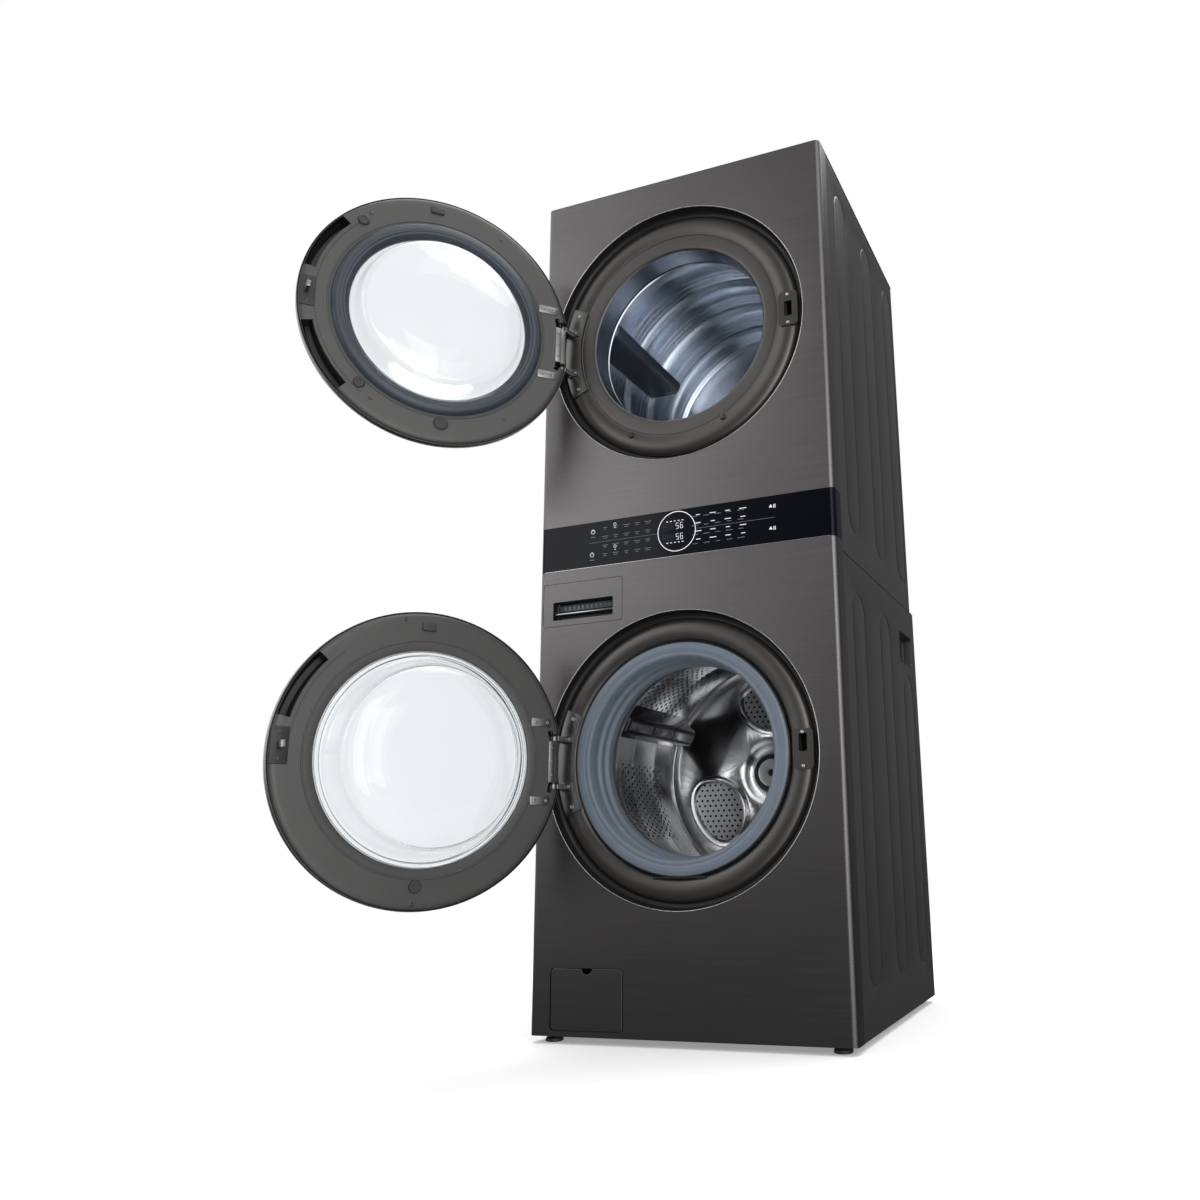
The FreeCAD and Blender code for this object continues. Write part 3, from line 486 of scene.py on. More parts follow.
def screw(shape, centre, axis, radius=4.5, height=1.8, slot_turn=0.0):
    """A domed screw head with a cross recess, standing on centre and facing axis."""
    along = Vector(axis).normalized()
    stand = Matrix.Translation(Vector(centre)) @ along.to_track_quat("Z", "Y").to_matrix().to_4x4() \
        @ Matrix.Rotation(slot_turn, 4, "Z")
    r = radius
    before = set(shape.verts)
    outline = [(0.12 * r, 0.35 * height), (0.3 * r, 0.5 * height), (0.42 * r, 0.98 * height),
               (0.7 * r, 0.85 * height), (0.93 * r, 0.5 * height), (r, 0.1 * height), (r, -0.3)]
    verts = [shape.verts.new((rr, 0, a)) for rr, a in outline]
    edges = [shape.edges.new(pair) for pair in zip(verts, verts[1:])]
    bmesh.ops.spin(shape, geom=verts + edges, cent=(0, 0, 0), axis=(0, 0, 1), angle=2 * math.pi, steps=16,
                   use_merge=True)
    made = [v for v in shape.verts if v not in before]
    cap = [v for v in made if abs(math.hypot(v.co.x, v.co.y) - 0.12 * r) < 0.01 * r]
    bmesh.ops.contextual_create(shape, geom=cap)
    for vert in made:
        reach = math.hypot(vert.co.x, vert.co.y)
        if 0.25 * r < reach < 0.5 * r:
            arm = abs(math.cos(2 * math.atan2(vert.co.y, vert.co.x)))
            vert.co.z -= 0.45 * height * max(0.0, arm - 0.75) * 4 if reach > 0.38 * r else 0.0
    bmesh.ops.transform(shape, verts=made, matrix=stand)


def on_back(depth):
    def plane(u, v):
        return Vector((u, depth, v))
    return plane


back = bmesh.new()
z0, z1 = cover_low.z, seam_z - 2
holes = [circle(x, z, r + 2, 32) for x, z, r in (HOT, COLD, DRAIN)]
ribs = [rounded(-200, -180, 90, 820, 9.5), rounded(-90, -70, 90, 820, 9.5), rounded(70, 90, 90, 820, 9.5),
        rounded(180, 200, 90, 820, 9.5), rounded(-290, -240, 780, 840, 10), rounded(-160, 160, 870, 920, 12)]
rings = cut_sheet(back, on_back(washer_back_y - 1.6), [(-half_cover, z0), (half_cover, z0), (half_cover, z1),
                                                       (-half_cover, z1)], ribs + holes)
for ring in rings[:len(ribs)]:
    press(back, ring, (0, 1, 0), ((3.0, 0.7), (3.0, 0.8)))
place_piece("washer_back_cover", back, cover_zinc, "cabinet", "back_zinc", "back_panels", outward=(0, 1, 0),
            wall=SHEET, crease=0.35)
back = bmesh.new()
z0, z1 = seam_z + 2.4, cover_high.z
holes = [circle(EXHAUST[0], EXHAUST[1], EXHAUST[2] + 1.5, 48), circle(GLAND[0], GLAND[1], GLAND[2] + 0.5, 32),
         circle(axle_x, dryer_z, 15.5, 24)]
vents = [rounded(x, x + 8, z, z + 60, 3.9, 3) for z in (1650, 1740) for x in range(-250, 250, 24)]
ribs = [rounded(-290, -270, 1190, 1800, 9.5), rounded(270, 290, 1190, 1800, 9.5),
        rounded(60, 180, 1010, 1150, 12), rounded(-240, 240, 1225, 1250, 12)]
rings = cut_sheet(back, on_back(dryer_back_y - 1.6), [(-half_cover, z0), (half_cover, z0), (half_cover, z1),
                                                      (-half_cover, z1)], ribs + holes + vents)
for ring in rings[:len(ribs)]:
    press(back, ring, (0, 1, 0), ((3.0, 0.7), (3.0, 0.8)))
place_piece("dryer_back_cover", back, cover_zinc, "cabinet", "back_zinc", outward=(0, 1, 0), wall=SHEET,
            crease=0.35)
screw_zinc = satin("screw_zinc", (0.42, 0.42, 0.41), (0.60, 0.60, 0.58), 0.3, metallic=1.0)
back_screws = bmesh.new()
for z in (60, 260, 500, 740, 925):
    for x in (-328, 328):
        screw(back_screws, (x, washer_back_y - 1.6, z), (0, 1, 0), 5, 1.5)
for z in (985, 1180, 1400, 1620, 1860):
    for x in (-328, 328):
        screw(back_screws, (x, dryer_back_y - 1.6, z), (0, 1, 0), 5, 2)
for x in (-160, 160):
    screw(back_screws, (x, dryer_back_y - 1.6, 1870), (0, 1, 0), 5, 2)
    screw(back_screws, (x, washer_back_y - 1.6, 30), (0, 1, 0), 5, 1.5)
place_piece("back_screws", back_screws, screw_zinc, "cabinet", "back_zinc")

# ---- front panels ----
# Two wrap-round fronts of dark stainless steel brushed from side to side, each with a large round opening.
# The washer's has cut-outs for the drawer and the pump cover.
CORNER_R = 12.0
steel = Finish("brushed_black_steel", metallic=1.0, anisotropic=0.45)
streak = steel.noise(1.0, 3.0, (5.0, 60.0, 900.0))
fine_streak = steel.noise(1.0, 2.0, (14.0, 200.0, 3200.0))
cloud = steel.noise(2.2, 3.0)
# Painted shade: the steel's colour darkens towards the floor, standing in for the dim reflections low on the front.
painted_shade_by_height = steel.place.axes()[2].ramp(0.0, 1.7)
tone = streak * 0.45 + fine_streak * 0.35 + cloud * 0.2
steel.drive("Base Color", tone.tint(painted_shade_by_height.tint((0.068, 0.065, 0.067), (0.098, 0.093, 0.094)),
                                    painted_shade_by_height.tint((0.158, 0.150, 0.153), (0.252, 0.239, 0.240))))
steel.drive("Roughness", 0.27 + streak * 0.08 + fine_streak * 0.06)
steel.relief(streak * 0.5 + fine_streak * 0.5, 0.10, 0.0003)
black_steel = steel.material
OPENING_R = 304.0


def wrap(node, name, holes, material, slot):
    """A front panel with rounded upright corners and short returns, in place of a CAD node."""
    low, high = limits(node)
    flat = high.x - CORNER_R
    front = bmesh.new()
    spans = [low.z + (high.z - low.z) * k / 8 for k in range(9)]
    outline = [(flat, z) for z in spans] + [(-flat, z) for z in reversed(spans)]
    cut_sheet(front, lambda u, v: Vector((u, low.y, v)), outline, holes)
    for sign in (-1, 1):
        edge = [e for e in front.edges if all(abs(v.co.x - sign * flat) < 0.01 for v in e.verts)]
        ends = {v for e in edge for v in e.verts}
        last = bmesh.ops.spin(front, geom=list(ends) + edge, cent=(sign * flat, low.y + CORNER_R, 0),
                              axis=(0, 0, 1), angle=sign * math.pi / 2, steps=10)["geom_last"]
        last_edges = [g for g in last if isinstance(g, bmesh.types.BMEdge)]
        grown = bmesh.ops.extrude_edge_only(front, edges=last_edges)["geom"]
        moved = [g for g in grown if isinstance(g, bmesh.types.BMVert)]
        bmesh.ops.translate(front, verts=moved, vec=(0, high.y - low.y - CORNER_R, 0))
    place_piece(name, front, material, "cabinet", slot, node, outward=(0, -1, 0), wall=SHEET, crease=0.5)


drawer_low, drawer_high = limits("drawer_front")
pump_low, pump_high = limits("pump_cover")
wrap("washer_front_panel", "washer_front_steel",
     [circle(axle_x, washer_z, OPENING_R, 160),
      rounded(drawer_low.x - 1, drawer_high.x + 1, drawer_low.z - 1, drawer_high.z + 1, 6),
      rounded(pump_low.x - 1, pump_high.x + 1, pump_low.z - 1, pump_high.z + 1, 9)], black_steel, "black_steel")
wrap("dryer_front_panel", "dryer_front_steel", [circle(axle_x, dryer_z, OPENING_R, 160)], black_steel,
     "black_steel")

# The panel's edge is rolled round each opening and shows as a thin bright line.
edge_bright = satin("rolled_edge_bright", (0.40, 0.40, 0.40), (0.56, 0.56, 0.56), 0.2, metallic=1.0)
for cabinet, centre_z in (("washer", washer_z), ("dryer", dryer_z)):
    roll = bmesh.new()
    turned(roll, [(304.2, -350.2), (303.7, -350.7), (303.0, -350.7), (302.4, -350.1), (302.3, -349.2),
                  (303.2, -348.9), (304.2, -349.4)], (axle_x, 0, centre_z), steps=192)
    place_piece(cabinet + "_opening_edge", roll, edge_bright, "cabinet", "black_steel", crease=1.2)

# ---- top panel ----
# A shallow pressed lid of the same dark steel over the dryer, with rounded front corners.
lid_low, lid_high = limits("top_panel")
lid = bmesh.new()
corner_points = [(lid_high.x, lid_high.y), (lid_low.x, lid_high.y)]
for k in range(9):
    turn = math.radians(180 + 90 * k / 8)
    corner_points.append((lid_low.x + CORNER_R + CORNER_R * math.cos(turn),
                          lid_low.y + CORNER_R + CORNER_R * math.sin(turn)))
for k in range(9):
    turn = math.radians(270 + 90 * k / 8)
    corner_points.append((lid_high.x - CORNER_R + CORNER_R * math.cos(turn),
                          lid_low.y + CORNER_R + CORNER_R * math.sin(turn)))
ring = [lid.verts.new((x, y, lid_low.z)) for x, y in corner_points]
plate = lid.faces.new(ring)
grown = bmesh.ops.extrude_face_region(lid, geom=[plate], use_keep_orig=True)["geom"]
bmesh.ops.translate(lid, verts=[g for g in grown if isinstance(g, bmesh.types.BMVert)],
                    vec=(0, 0, lid_high.z - lid_low.z))
upper = [e for e in lid.edges if all(abs(v.co.z - lid_high.z) < 0.01 for v in e.verts)]
bmesh.ops.bevel(lid, geom=upper, offset=1.2, affect="EDGES", segments=3, profile=0.5, material=-1)
top = max(lid.faces, key=lambda f: f.calc_area() * (f.calc_center_median().z > lid_high.z - 0.1))
if top.normal.z < 0:
    top.normal_flip()
bmesh.ops.inset_region(lid, faces=[top], thickness=16, depth=0)
bmesh.ops.inset_region(lid, faces=[top], thickness=5, depth=-0.8)
place_piece("top_lid", lid, black_steel, "cabinet", "black_steel", "top_panel", crease=0.45)

# ---- control band ----
# A black glass strip across the seam between the cabinets, with printed legends and a lit round display.
# A bright line trims its lower edge. The circuit board sits behind it.
glass = Finish("black_glass", metallic=0.0, specular_ior_level=0.12)
smear = glass.noise(5.0, 4.0, (1.0, 1.0, 3.0))
glass.drive("Base Color", smear.tint((0.0022, 0.0028, 0.0060), (0.0036, 0.0046, 0.0095)))
glass.drive("Roughness", 0.07 + smear * 0.05)
glass.relief(glass.noise(40.0), 0.01)
wrap("control_fascia", "control_band_glass", [], glass.material, "black_glass")
band_low, band_high = limits("control_fascia")
PRINT_DEPTH = 0.25
print_y = band_low.y - PRINT_DEPTH


def lit(name, colour, glow):
    """Printed or lit marks: a pale ink that glows a little, slightly uneven."""
    made = Finish(name, roughness=0.6, emission_strength=glow)
    made.drive("Base Color", made.noise(300.0).tint(tuple(0.85 * c for c in colour), colour))
    made.drive("Emission Color", made.noise(90.0).tint(tuple(0.9 * c for c in colour), colour))
    return made.material


bright_ink = lit("legend_white", (0.80, 0.82, 0.85), 0.55)
dim_ink = lit("legend_grey", (0.20, 0.21, 0.23), 0.10)
ghost_ink = lit("digit_unlit", (0.030, 0.034, 0.045), 0.0)


def mark(shape, x0, x1, z0, z1, tilt=None):
    """A thin printed bar."""
    block(shape, (x0, print_y, z0), (x1, band_low.y + 0.02, z1), 0.0, tilt=tilt)


SEGMENTS = {"5": "abcfgd", "6": "acdefg", "8": "abcdefg"}


def digit(shape, figure, x, z, height, lit_only=True):
    """One seven-segment figure with its lower left corner at (x, z)."""
    wide, stroke, half_h = height * 0.5, height * 0.12, height / 2
    bars = {"a": (0, wide, height - stroke, height), "g": (0, wide, half_h - stroke / 2, half_h + stroke / 2),
            "d": (0, wide, 0, stroke), "f": (0, stroke, half_h, height), "b": (wide - stroke, wide, half_h, height),
            "e": (0, stroke, 0, half_h), "c": (wide - stroke, wide, 0, half_h)}
    on = {"5": "afgcd", "6": "afgcde", "8": "abcdefg"}[figure]
    for name, (u0, u1, v0, v1) in bars.items():
        if (name in on) == lit_only:
            gap = 0.25 * stroke
            mark(shape, x + u0 + gap, x + u1 - gap, z + v0 + gap, z + v1 - gap)


band_mid = (band_low.z + band_high.z) / 2 + 4
DIAL_X = -8.0
dial = bmesh.new()
turned(dial, [(43.0, print_y), (44.6, print_y), (44.6, band_low.y), (43.0, band_low.y)],
       (DIAL_X, 0, band_mid), steps=96)
for row_z in (band_mid + 5, band_mid - 19):
    for k in range(2):
        digit(dial, "56"[k], DIAL_X - 2 + 10 * k, row_z, 14)
    for k in range(5):
        mark(dial, DIAL_X - 24 + 9 * k, DIAL_X - 20 + 9 * k, row_z + 17.5 * (1 if row_z > band_mid else -0.35), 
             row_z + 17.5 * (1 if row_z > band_mid else -0.35) + 1.6)
for icon_x, icon_z in ((-210, band_mid + 25), (-212, band_mid - 27)):
    turned(dial, [(4.2, print_y), (5.0, print_y), (5.0, band_low.y), (4.2, band_low.y)], (icon_x, 0, icon_z),
           steps=24)
    mark(dial, icon_x - 0.4, icon_x + 0.4, icon_z, icon_z + 6)
for icon_x, icon_z in ((-156, band_mid + 36), (-155.5, band_mid - 14)):
    turned(dial, [(2.6, print_y), (3.4, print_y), (3.4, band_low.y), (2.6, band_low.y)], (icon_x, 0, icon_z),
           steps=20)
    mark(dial, icon_x - 2.2, icon_x + 2.2, icon_z - 7.5, icon_z - 6.5)
for icon_x, icon_z in ((206, band_mid + 24.5), (205, band_mid - 23)):
    rod(dial, 4.4, PRINT_DEPTH, (icon_x, print_y, icon_z), (0, 1, 0), 3)
    mark(dial, icon_x + 6, icon_x + 7.4, icon_z - 4, icon_z + 4)
    mark(dial, icon_x + 9, icon_x + 10.4, icon_z - 4, icon_z + 4)
for column in range(5):
    for row in range(4):
        x = 62 + 34 * column
        z = band_mid + 29 - 18 * row
        if column < 4:
            wide = 9 + (column * 5 + row * 3) % 8
            mark(dial, x - wide / 2 - 20, x + wide / 2 - 20, z, z + 1.5)
place_piece("control_legends_bright", dial, bright_ink, "cabinet", "black_glass")
fine_print = bmesh.new()
for x0, x1 in ((-220, -53), (36, 214)):
    mark(fine_print, x0, x1, band_mid - 0.35, band_mid + 0.35)
for column in range(5):
    for row in range(4):
        x = -180 + 26 * column
        z = band_mid + 31 - 20 * row
        wide = 10 + (column * 3 + row * 5) % 7
        mark(fine_print, x - wide / 2, x + wide / 2, z, z + 1.3)
        mark(fine_print, x - wide / 3, x + wide / 3, z - 4.2, z - 3.0)
        mark(fine_print, x + 45 + 170 - wide / 2, x + 45 + 170 + wide / 2, z - 5.2, z - 4.0)
for icon_x, icon_z in ((-210, band_mid + 12), (-212, band_mid - 40)):
    mark(fine_print, icon_x - 6, icon_x + 6, icon_z, icon_z + 1.5)
place_piece("control_legends_fine", fine_print, dim_ink, "cabinet", "black_glass")
ghosts = bmesh.new()
for row_z in (band_mid + 5, band_mid - 19):
    for k in range(3):
        digit(ghosts, "8", DIAL_X - 32 + 9 * k, row_z, 14)
    for k in range(2):
        digit(ghosts, "56"[k], DIAL_X - 2 + 10 * k, row_z, 14, lit_only=False)
place_piece("display_unlit_segments", ghosts, ghost_ink, "cabinet", "black_glass")
trim = bmesh.new()
block(trim, (band_low.x + CORNER_R, band_low.y - 0.3, band_low.z - 0.1),
      (band_high.x - CORNER_R, band_low.y + 0.2, band_low.z + 1.1), 0.2, 1)
place_piece("control_band_trim", trim, edge_bright, "cabinet", "chrome")
board_green = satin("board_green", (0.010, 0.060, 0.028), (0.020, 0.095, 0.045), 0.4, grain=260.0)
coat(board_green, "control_board")

# ---- detergent drawer ----
# A steel-faced drawer whose front has a black recess for the fingers, a bright bar and a row of slots. The
# white moulded tray behind it has three wells, and slides in a moulded housing.
SLOT = (-308.0, -160.0, 866.0, 907.0)
FRONT_DEEP = 25.0
face = bmesh.new()
rings = cut_sheet(face, lambda u, v: Vector((u, drawer_low.y, v)),
                  rounded(drawer_low.x, drawer_high.x, drawer_low.z, drawer_high.z, 5, 5),
                  [rounded(*SLOT, 4, 4)])
rim = [e for e in face.edges if len(e.link_faces) == 1 and not any(v in rings[0] for v in e.verts)]
grown = bmesh.ops.extrude_edge_only(face, edges=rim)["geom"]
bmesh.ops.translate(face, verts=[g for g in grown if isinstance(g, bmesh.types.BMVert)], vec=(0, FRONT_DEEP, 0))
place_piece("drawer_face", face, black_steel, "drawer", "black_steel", "drawer_front", outward=(0, -1, 0),
            wall=0.8)
recess_plastic = satin("recess_black", (0.006, 0.007, 0.009), (0.014, 0.015, 0.018), 0.35)
recess = bmesh.new()
rings = []
for inset, y in ((0.0, -349.6), (0.6, -349.0), (1.0, -332.0), (3.0, -329.5), (8.0, -329.0)):
    points = rounded(SLOT[0] + inset, SLOT[1] - inset, SLOT[2] + inset, SLOT[3] - inset, 4.2, 4)
    ring = [recess.verts.new((u, y, v)) for u, v in points]
    rings.append([recess.edges.new(pair) for pair in zip(ring, ring[1:] + ring[:1])])
for first, second in zip(rings, rings[1:]):
    bmesh.ops.bridge_loops(recess, edges=first + second)
bmesh.ops.contextual_create(recess, geom=rings[-1])
place_piece("drawer_finger_recess", recess, recess_plastic, "drawer", "black_plastic", outward=(0, -1, 0),
            crease=0.5)
notches = bmesh.new()
strip_blue = satin("slot_strip_blue", (0.10, 0.13, 0.17), (0.17, 0.21, 0.26), 0.3, metallic=0.6)
block(notches, (SLOT[0] + 6, -332.5, SLOT[3] - 18), (SLOT[1] - 6, -330, SLOT[3] - 4), 0.6)
place_piece("drawer_slot_strip", notches, strip_blue, "drawer", "black_plastic")
teeth = bmesh.new()
for k in range(12):
    x = SLOT[0] + 13 + k * 10.8
    block(teeth, (x, -333.4, SLOT[3] - 15), (x + 6.5, -332.3, SLOT[3] - 6.5), 0.4, 1)
place_piece("drawer_slots", teeth, recess_plastic, "drawer", "black_plastic")
bar = bmesh.new()
block(bar, (SLOT[0] + 3, -345, SLOT[2] + 13), (SLOT[1] - 3, -331, SLOT[2] + 16.5), 1.0)
place_piece("drawer_pull_bar", bar, edge_bright, "drawer", "chrome")
drawer_icons = bmesh.new()
for k in range(4):
    block(drawer_icons, (-209 + 11 * k, drawer_low.y - 0.15, 910), (-203 + 11 * k, drawer_low.y + 0.05, 911.2))
    block(drawer_icons, (-208 + 11 * k, drawer_low.y - 0.15, 913), (-204 + 11 * k, drawer_low.y + 0.05, 917))
place_piece("drawer_marks", drawer_icons, dim_ink, "drawer", "black_plastic")
tray_white = satin("tray_white", (0.60, 0.62, 0.64), (0.70, 0.71, 0.72), 0.35, subsurface_weight=0.05)
coat(tray_white, "detergent_tray", "drawer_housing")

# ---- pump access ----
# A small steel-faced cover low on the left, hinged along its lower edge, with a finger notch at the top.
# Behind it a black screw cap closes the drain pump's filter.
cover = bmesh.new()
NOTCH = (-225.0, -201.0, 11.0)
outline = []
REVEAL = 0.9
for u, v in rounded(pump_low.x + REVEAL, pump_high.x - REVEAL, pump_low.z, pump_high.z, 8, 6):
    outline.append((u, v))
split = next(k for k in range(len(outline) - 1) if outline[k][0] > NOTCH[1] > outline[k + 1][0]
             and abs(outline[k][1] - pump_high.z) < 0.01)
dip = [(NOTCH[1], pump_high.z)] + [((NOTCH[0] + NOTCH[1]) / 2 + 12 * math.cos(math.radians(a)),
                                    pump_high.z + 11 * math.sin(math.radians(a))) for a in range(-10, -171, -20)]
outline = outline[:split + 1] + dip + [(NOTCH[0], pump_high.z)] + outline[split + 1:]
ring = [cover.verts.new((u, pump_low.y, v)) for u, v in outline]
front_face = cover.faces.new(ring)
grown = bmesh.ops.extrude_face_region(cover, geom=[front_face], use_keep_orig=True)["geom"]
bmesh.ops.translate(cover, verts=[g for g in grown if isinstance(g, bmesh.types.BMVert)], vec=(0, 2.4, 0))
near = [e for e in cover.edges if all(abs(v.co.y - pump_low.y) < 0.01 for v in e.verts)]
bmesh.ops.bevel(cover, geom=near, offset=1.1, affect="EDGES", segments=2, profile=0.5, material=-1)
place_piece("pump_cover_face", cover, black_steel, "pump_cover", "black_steel", "pump_cover", crease=0.3)
black_plastic = satin("black_plastic", (0.009, 0.009, 0.010), (0.020, 0.020, 0.021), 0.45)
cap_low, cap_high = limits("pump_filter_cap")
cap_x, cap_z = (cap_low.x + cap_high.x) / 2, (cap_low.z + cap_high.z) / 2
cap_r = (cap_high.x - cap_low.x) / 2
cap = bmesh.new()
turned(cap, [(0, cap_high.y), (cap_r - 1, cap_high.y), (cap_r, cap_high.y - 1), (cap_r, cap_high.y - 7),
             (cap_r - 1.5, cap_high.y - 8.8), (cap_r - 6, cap_high.y - 9), (cap_r - 8, cap_high.y - 7.5), (0, cap_high.y - 7.5)],
       (cap_x, 0, cap_z), steps=48, closed=False)
for k in range(24):
    turn = Matrix.Translation((cap_x, 0, cap_z)) @ Matrix.Rotation(math.radians(15 * k), 4, "Y")
    block(cap, (cap_r - 1.2, cap_high.y - 7.5, -1.2), (cap_r - 0.1, cap_high.y - 1, 1.2), 0.3, 1, turn)
block(cap, (cap_x - 25, cap_low.y, cap_z - 4.5), (cap_x + 25, cap_high.y - 7, cap_z + 4.5), 2.0, 3)
place_piece("filter_cap_grip", cap, black_plastic, "filter_cap", "black_plastic", "pump_filter_cap")
coat(black_plastic, "drain_pump")

# ---- door surrounds ----
# A dished ring of dark metallic plastic fills each opening in the front, with a deep groove round its outside
# that a black ring lines; its black is partly the plastic's own and partly painted shade of the deep groove.
# The dryer's ring has a flat inner part with a seam, and two screws low down.
def soften(points, times=2):
    """An outline with its corners cut, so that it turns smoothly. It stays within the first outline."""
    for _ in range(times):
        rounder = [points[0]]
        for (r0, a0), (r1, a1) in zip(points, points[1:]):
            rounder += [(0.75 * r0 + 0.25 * r1, 0.75 * a0 + 0.25 * a1),
                        (0.25 * r0 + 0.75 * r1, 0.25 * a0 + 0.75 * a1)]
        points = rounder + [points[-1]]
    return points


bezel = Finish("surround_metallic", metallic=0.75, coat_weight=0.15, coat_roughness=0.3)
flake = bezel.noise(2400.0, 1.0)
cloud = bezel.noise(4.0, 3.0)
bezel.drive("Base Color", (flake * 0.5 + cloud * 0.5).tint((0.064, 0.060, 0.0575), (0.128, 0.120, 0.115)))
bezel.drive("Roughness", 0.30 + flake * 0.10 + cloud * 0.05)
bezel.relief(flake, 0.08, 0.0002)
black_and_painted_shade = satin("black_and_painted_shade", (0.004, 0.004, 0.004), (0.010, 0.010, 0.010), 0.5)
crest = -338.0
DISH = [(312, -348.2), (303.6, -348.2), (301.2, -326), (290, -323.5), (286, -329.5), (281, -334.3), (272, -337.3),
        (262, crest), (252, -336.5)]
LINES = {"washer": DISH + [(244.5, -333.5), (239, -326)],
         "dryer": DISH + [(245.5, -335.0), (241.5, -334.9), (241.0, -333.6), (239.8, -333.6), (239.3, -334.6),
                          (214, -333.9), (208.5, -333.0), (206, -330)]}
LATCHES = {"washer": 13.0, "dryer": 0.0}
LATCH_X = 255.0
for cabinet, centre_z in (("washer", washer_z), ("dryer", dryer_z)):
    inner = 239.5 if cabinet == "washer" else 207.0
    front_line = soften(LINES[cabinet])
    back_line = [(inner + 2, -323.5 if cabinet == "washer" else -328.0), (262, -333), (280, -328), (290, -320),
                 (302, -322.5), (306.5, -346), (312, -346)]
    dish = bmesh.new()
    turned(dish, front_line + back_line, (axle_x, 0, centre_z), steps=192)
    hole_z = centre_z + LATCHES[cabinet]
    gone = [f for f in dish.faces if abs(f.calc_center_median().x - LATCH_X) < 14
            and abs(f.calc_center_median().z - hole_z) < 21]
    bmesh.ops.delete(dish, geom=gone, context="FACES")
    place_piece(cabinet + "_surround_dish", dish, bezel.material, "cabinet", "surround_grey",
                cabinet + "_bezel", crease=0.7)
    # A black ring laid in the deep groove: its black is partly the plastic's own colour and partly painted shade of
    # the groove.
    groove = bmesh.new()
    turned(groove, soften([(302.9, -347), (300.9, -327.2), (290.2, -324.4), (287.8, -327.6)], 2)
           + [(288, -327), (290.4, -323.6), (301.3, -326.4), (303.4, -347)], (axle_x, 0, centre_z), steps=192)
    place_piece(cabinet + "_surround_groove", groove, black_and_painted_shade, "cabinet", "black_plastic", crease=1.0)
collar = bmesh.new()
turned(collar, [(206.3, -329), (206.3, -278), (207, -277), (208.7, -277), (208.7, -329)], (axle_x, 0, dryer_z),
       steps=128)
gone = [f for f in collar.faces if f.calc_center_median().z < dryer_z - 150
        and -316 < f.calc_center_median().y < -296]
bmesh.ops.delete(collar, geom=gone, context="FACES")
collar_steel = satin("collar_steel", (0.50, 0.53, 0.58), (0.70, 0.73, 0.78), 0.22, metallic=1.0)
place_piece("dryer_mouth_collar", collar, collar_steel, "cabinet", "surround_grey")
dark_screw = satin("screw_dark", (0.05, 0.05, 0.052), (0.10, 0.10, 0.104), 0.3, metallic=1.0)
low_screws = bmesh.new()
for x, z in ((-124, dryer_z - 227), (98, dryer_z - 222)):
    screw(low_screws, (x, -337.6, z), (0, -1, 0), 7.5, 2.4, 0.3)
place_piece("surround_screws", low_screws, dark_screw, "cabinet", "surround_grey")

# ---- latch plates ----
# A bevelled plate on the right of each surround, held by two screws, with a black pocket that takes the
# door's hook.
plate_grey = satin("latch_plate_grey", (0.075, 0.071, 0.067), (0.12, 0.115, 0.108), 0.32, metallic=0.8)
PLATE_Y = -340.4
plates = bmesh.new()
pockets = bmesh.new()
plate_screws = bmesh.new()
for cabinet, centre_z in (("washer", washer_z), ("dryer", dryer_z)):
    slot_z = centre_z + LATCHES[cabinet]
    hole = rounded(LATCH_X - 8.5, LATCH_X + 8.5, slot_z - 17.5, slot_z + 17.5, 2.5, 3)
    outline = rounded(LATCH_X - 21.5, LATCH_X + 21.5, centre_z - 39.5, centre_z + 39.5, 8, 6)
    start = len(plates.verts)
    cut_sheet(plates, lambda u, v: Vector((u, PLATE_Y, v)), outline, [hole])
    rings = []
    for inset, y in ((0.0, -340.2), (0.4, -339), (0.9, -306)):
        ring = [pockets.verts.new((u, y, v)) for u, v in
                rounded(LATCH_X - 8.4 + inset, LATCH_X + 8.4 - inset, slot_z - 17.4 + inset, slot_z + 17.4 - inset,
                        2.4, 3)]
        rings.append([pockets.edges.new(pair) for pair in zip(ring, ring[1:] + ring[:1])])
    for first, second in zip(rings, rings[1:]):
        bmesh.ops.bridge_loops(pockets, edges=first + second)
    bmesh.ops.contextual_create(pockets, geom=rings[-1])
    for z in (centre_z + 33, centre_z - 33):
        screw(plate_screws, (LATCH_X - 1, PLATE_Y, z), (0, -1, 0), 3.6, 1.1, 0.4)
place_piece("latch_plate_faces", plates, plate_grey, "cabinet", "surround_grey", "latch_plates",
            outward=(0, -1, 0), wall=2.0)
place_piece("latch_pockets", pockets, black_and_painted_shade, "cabinet", "black_plastic", outward=(0, -1, 0))
place_piece("latch_screws", plate_screws, screw_zinc, "cabinet", "chrome")

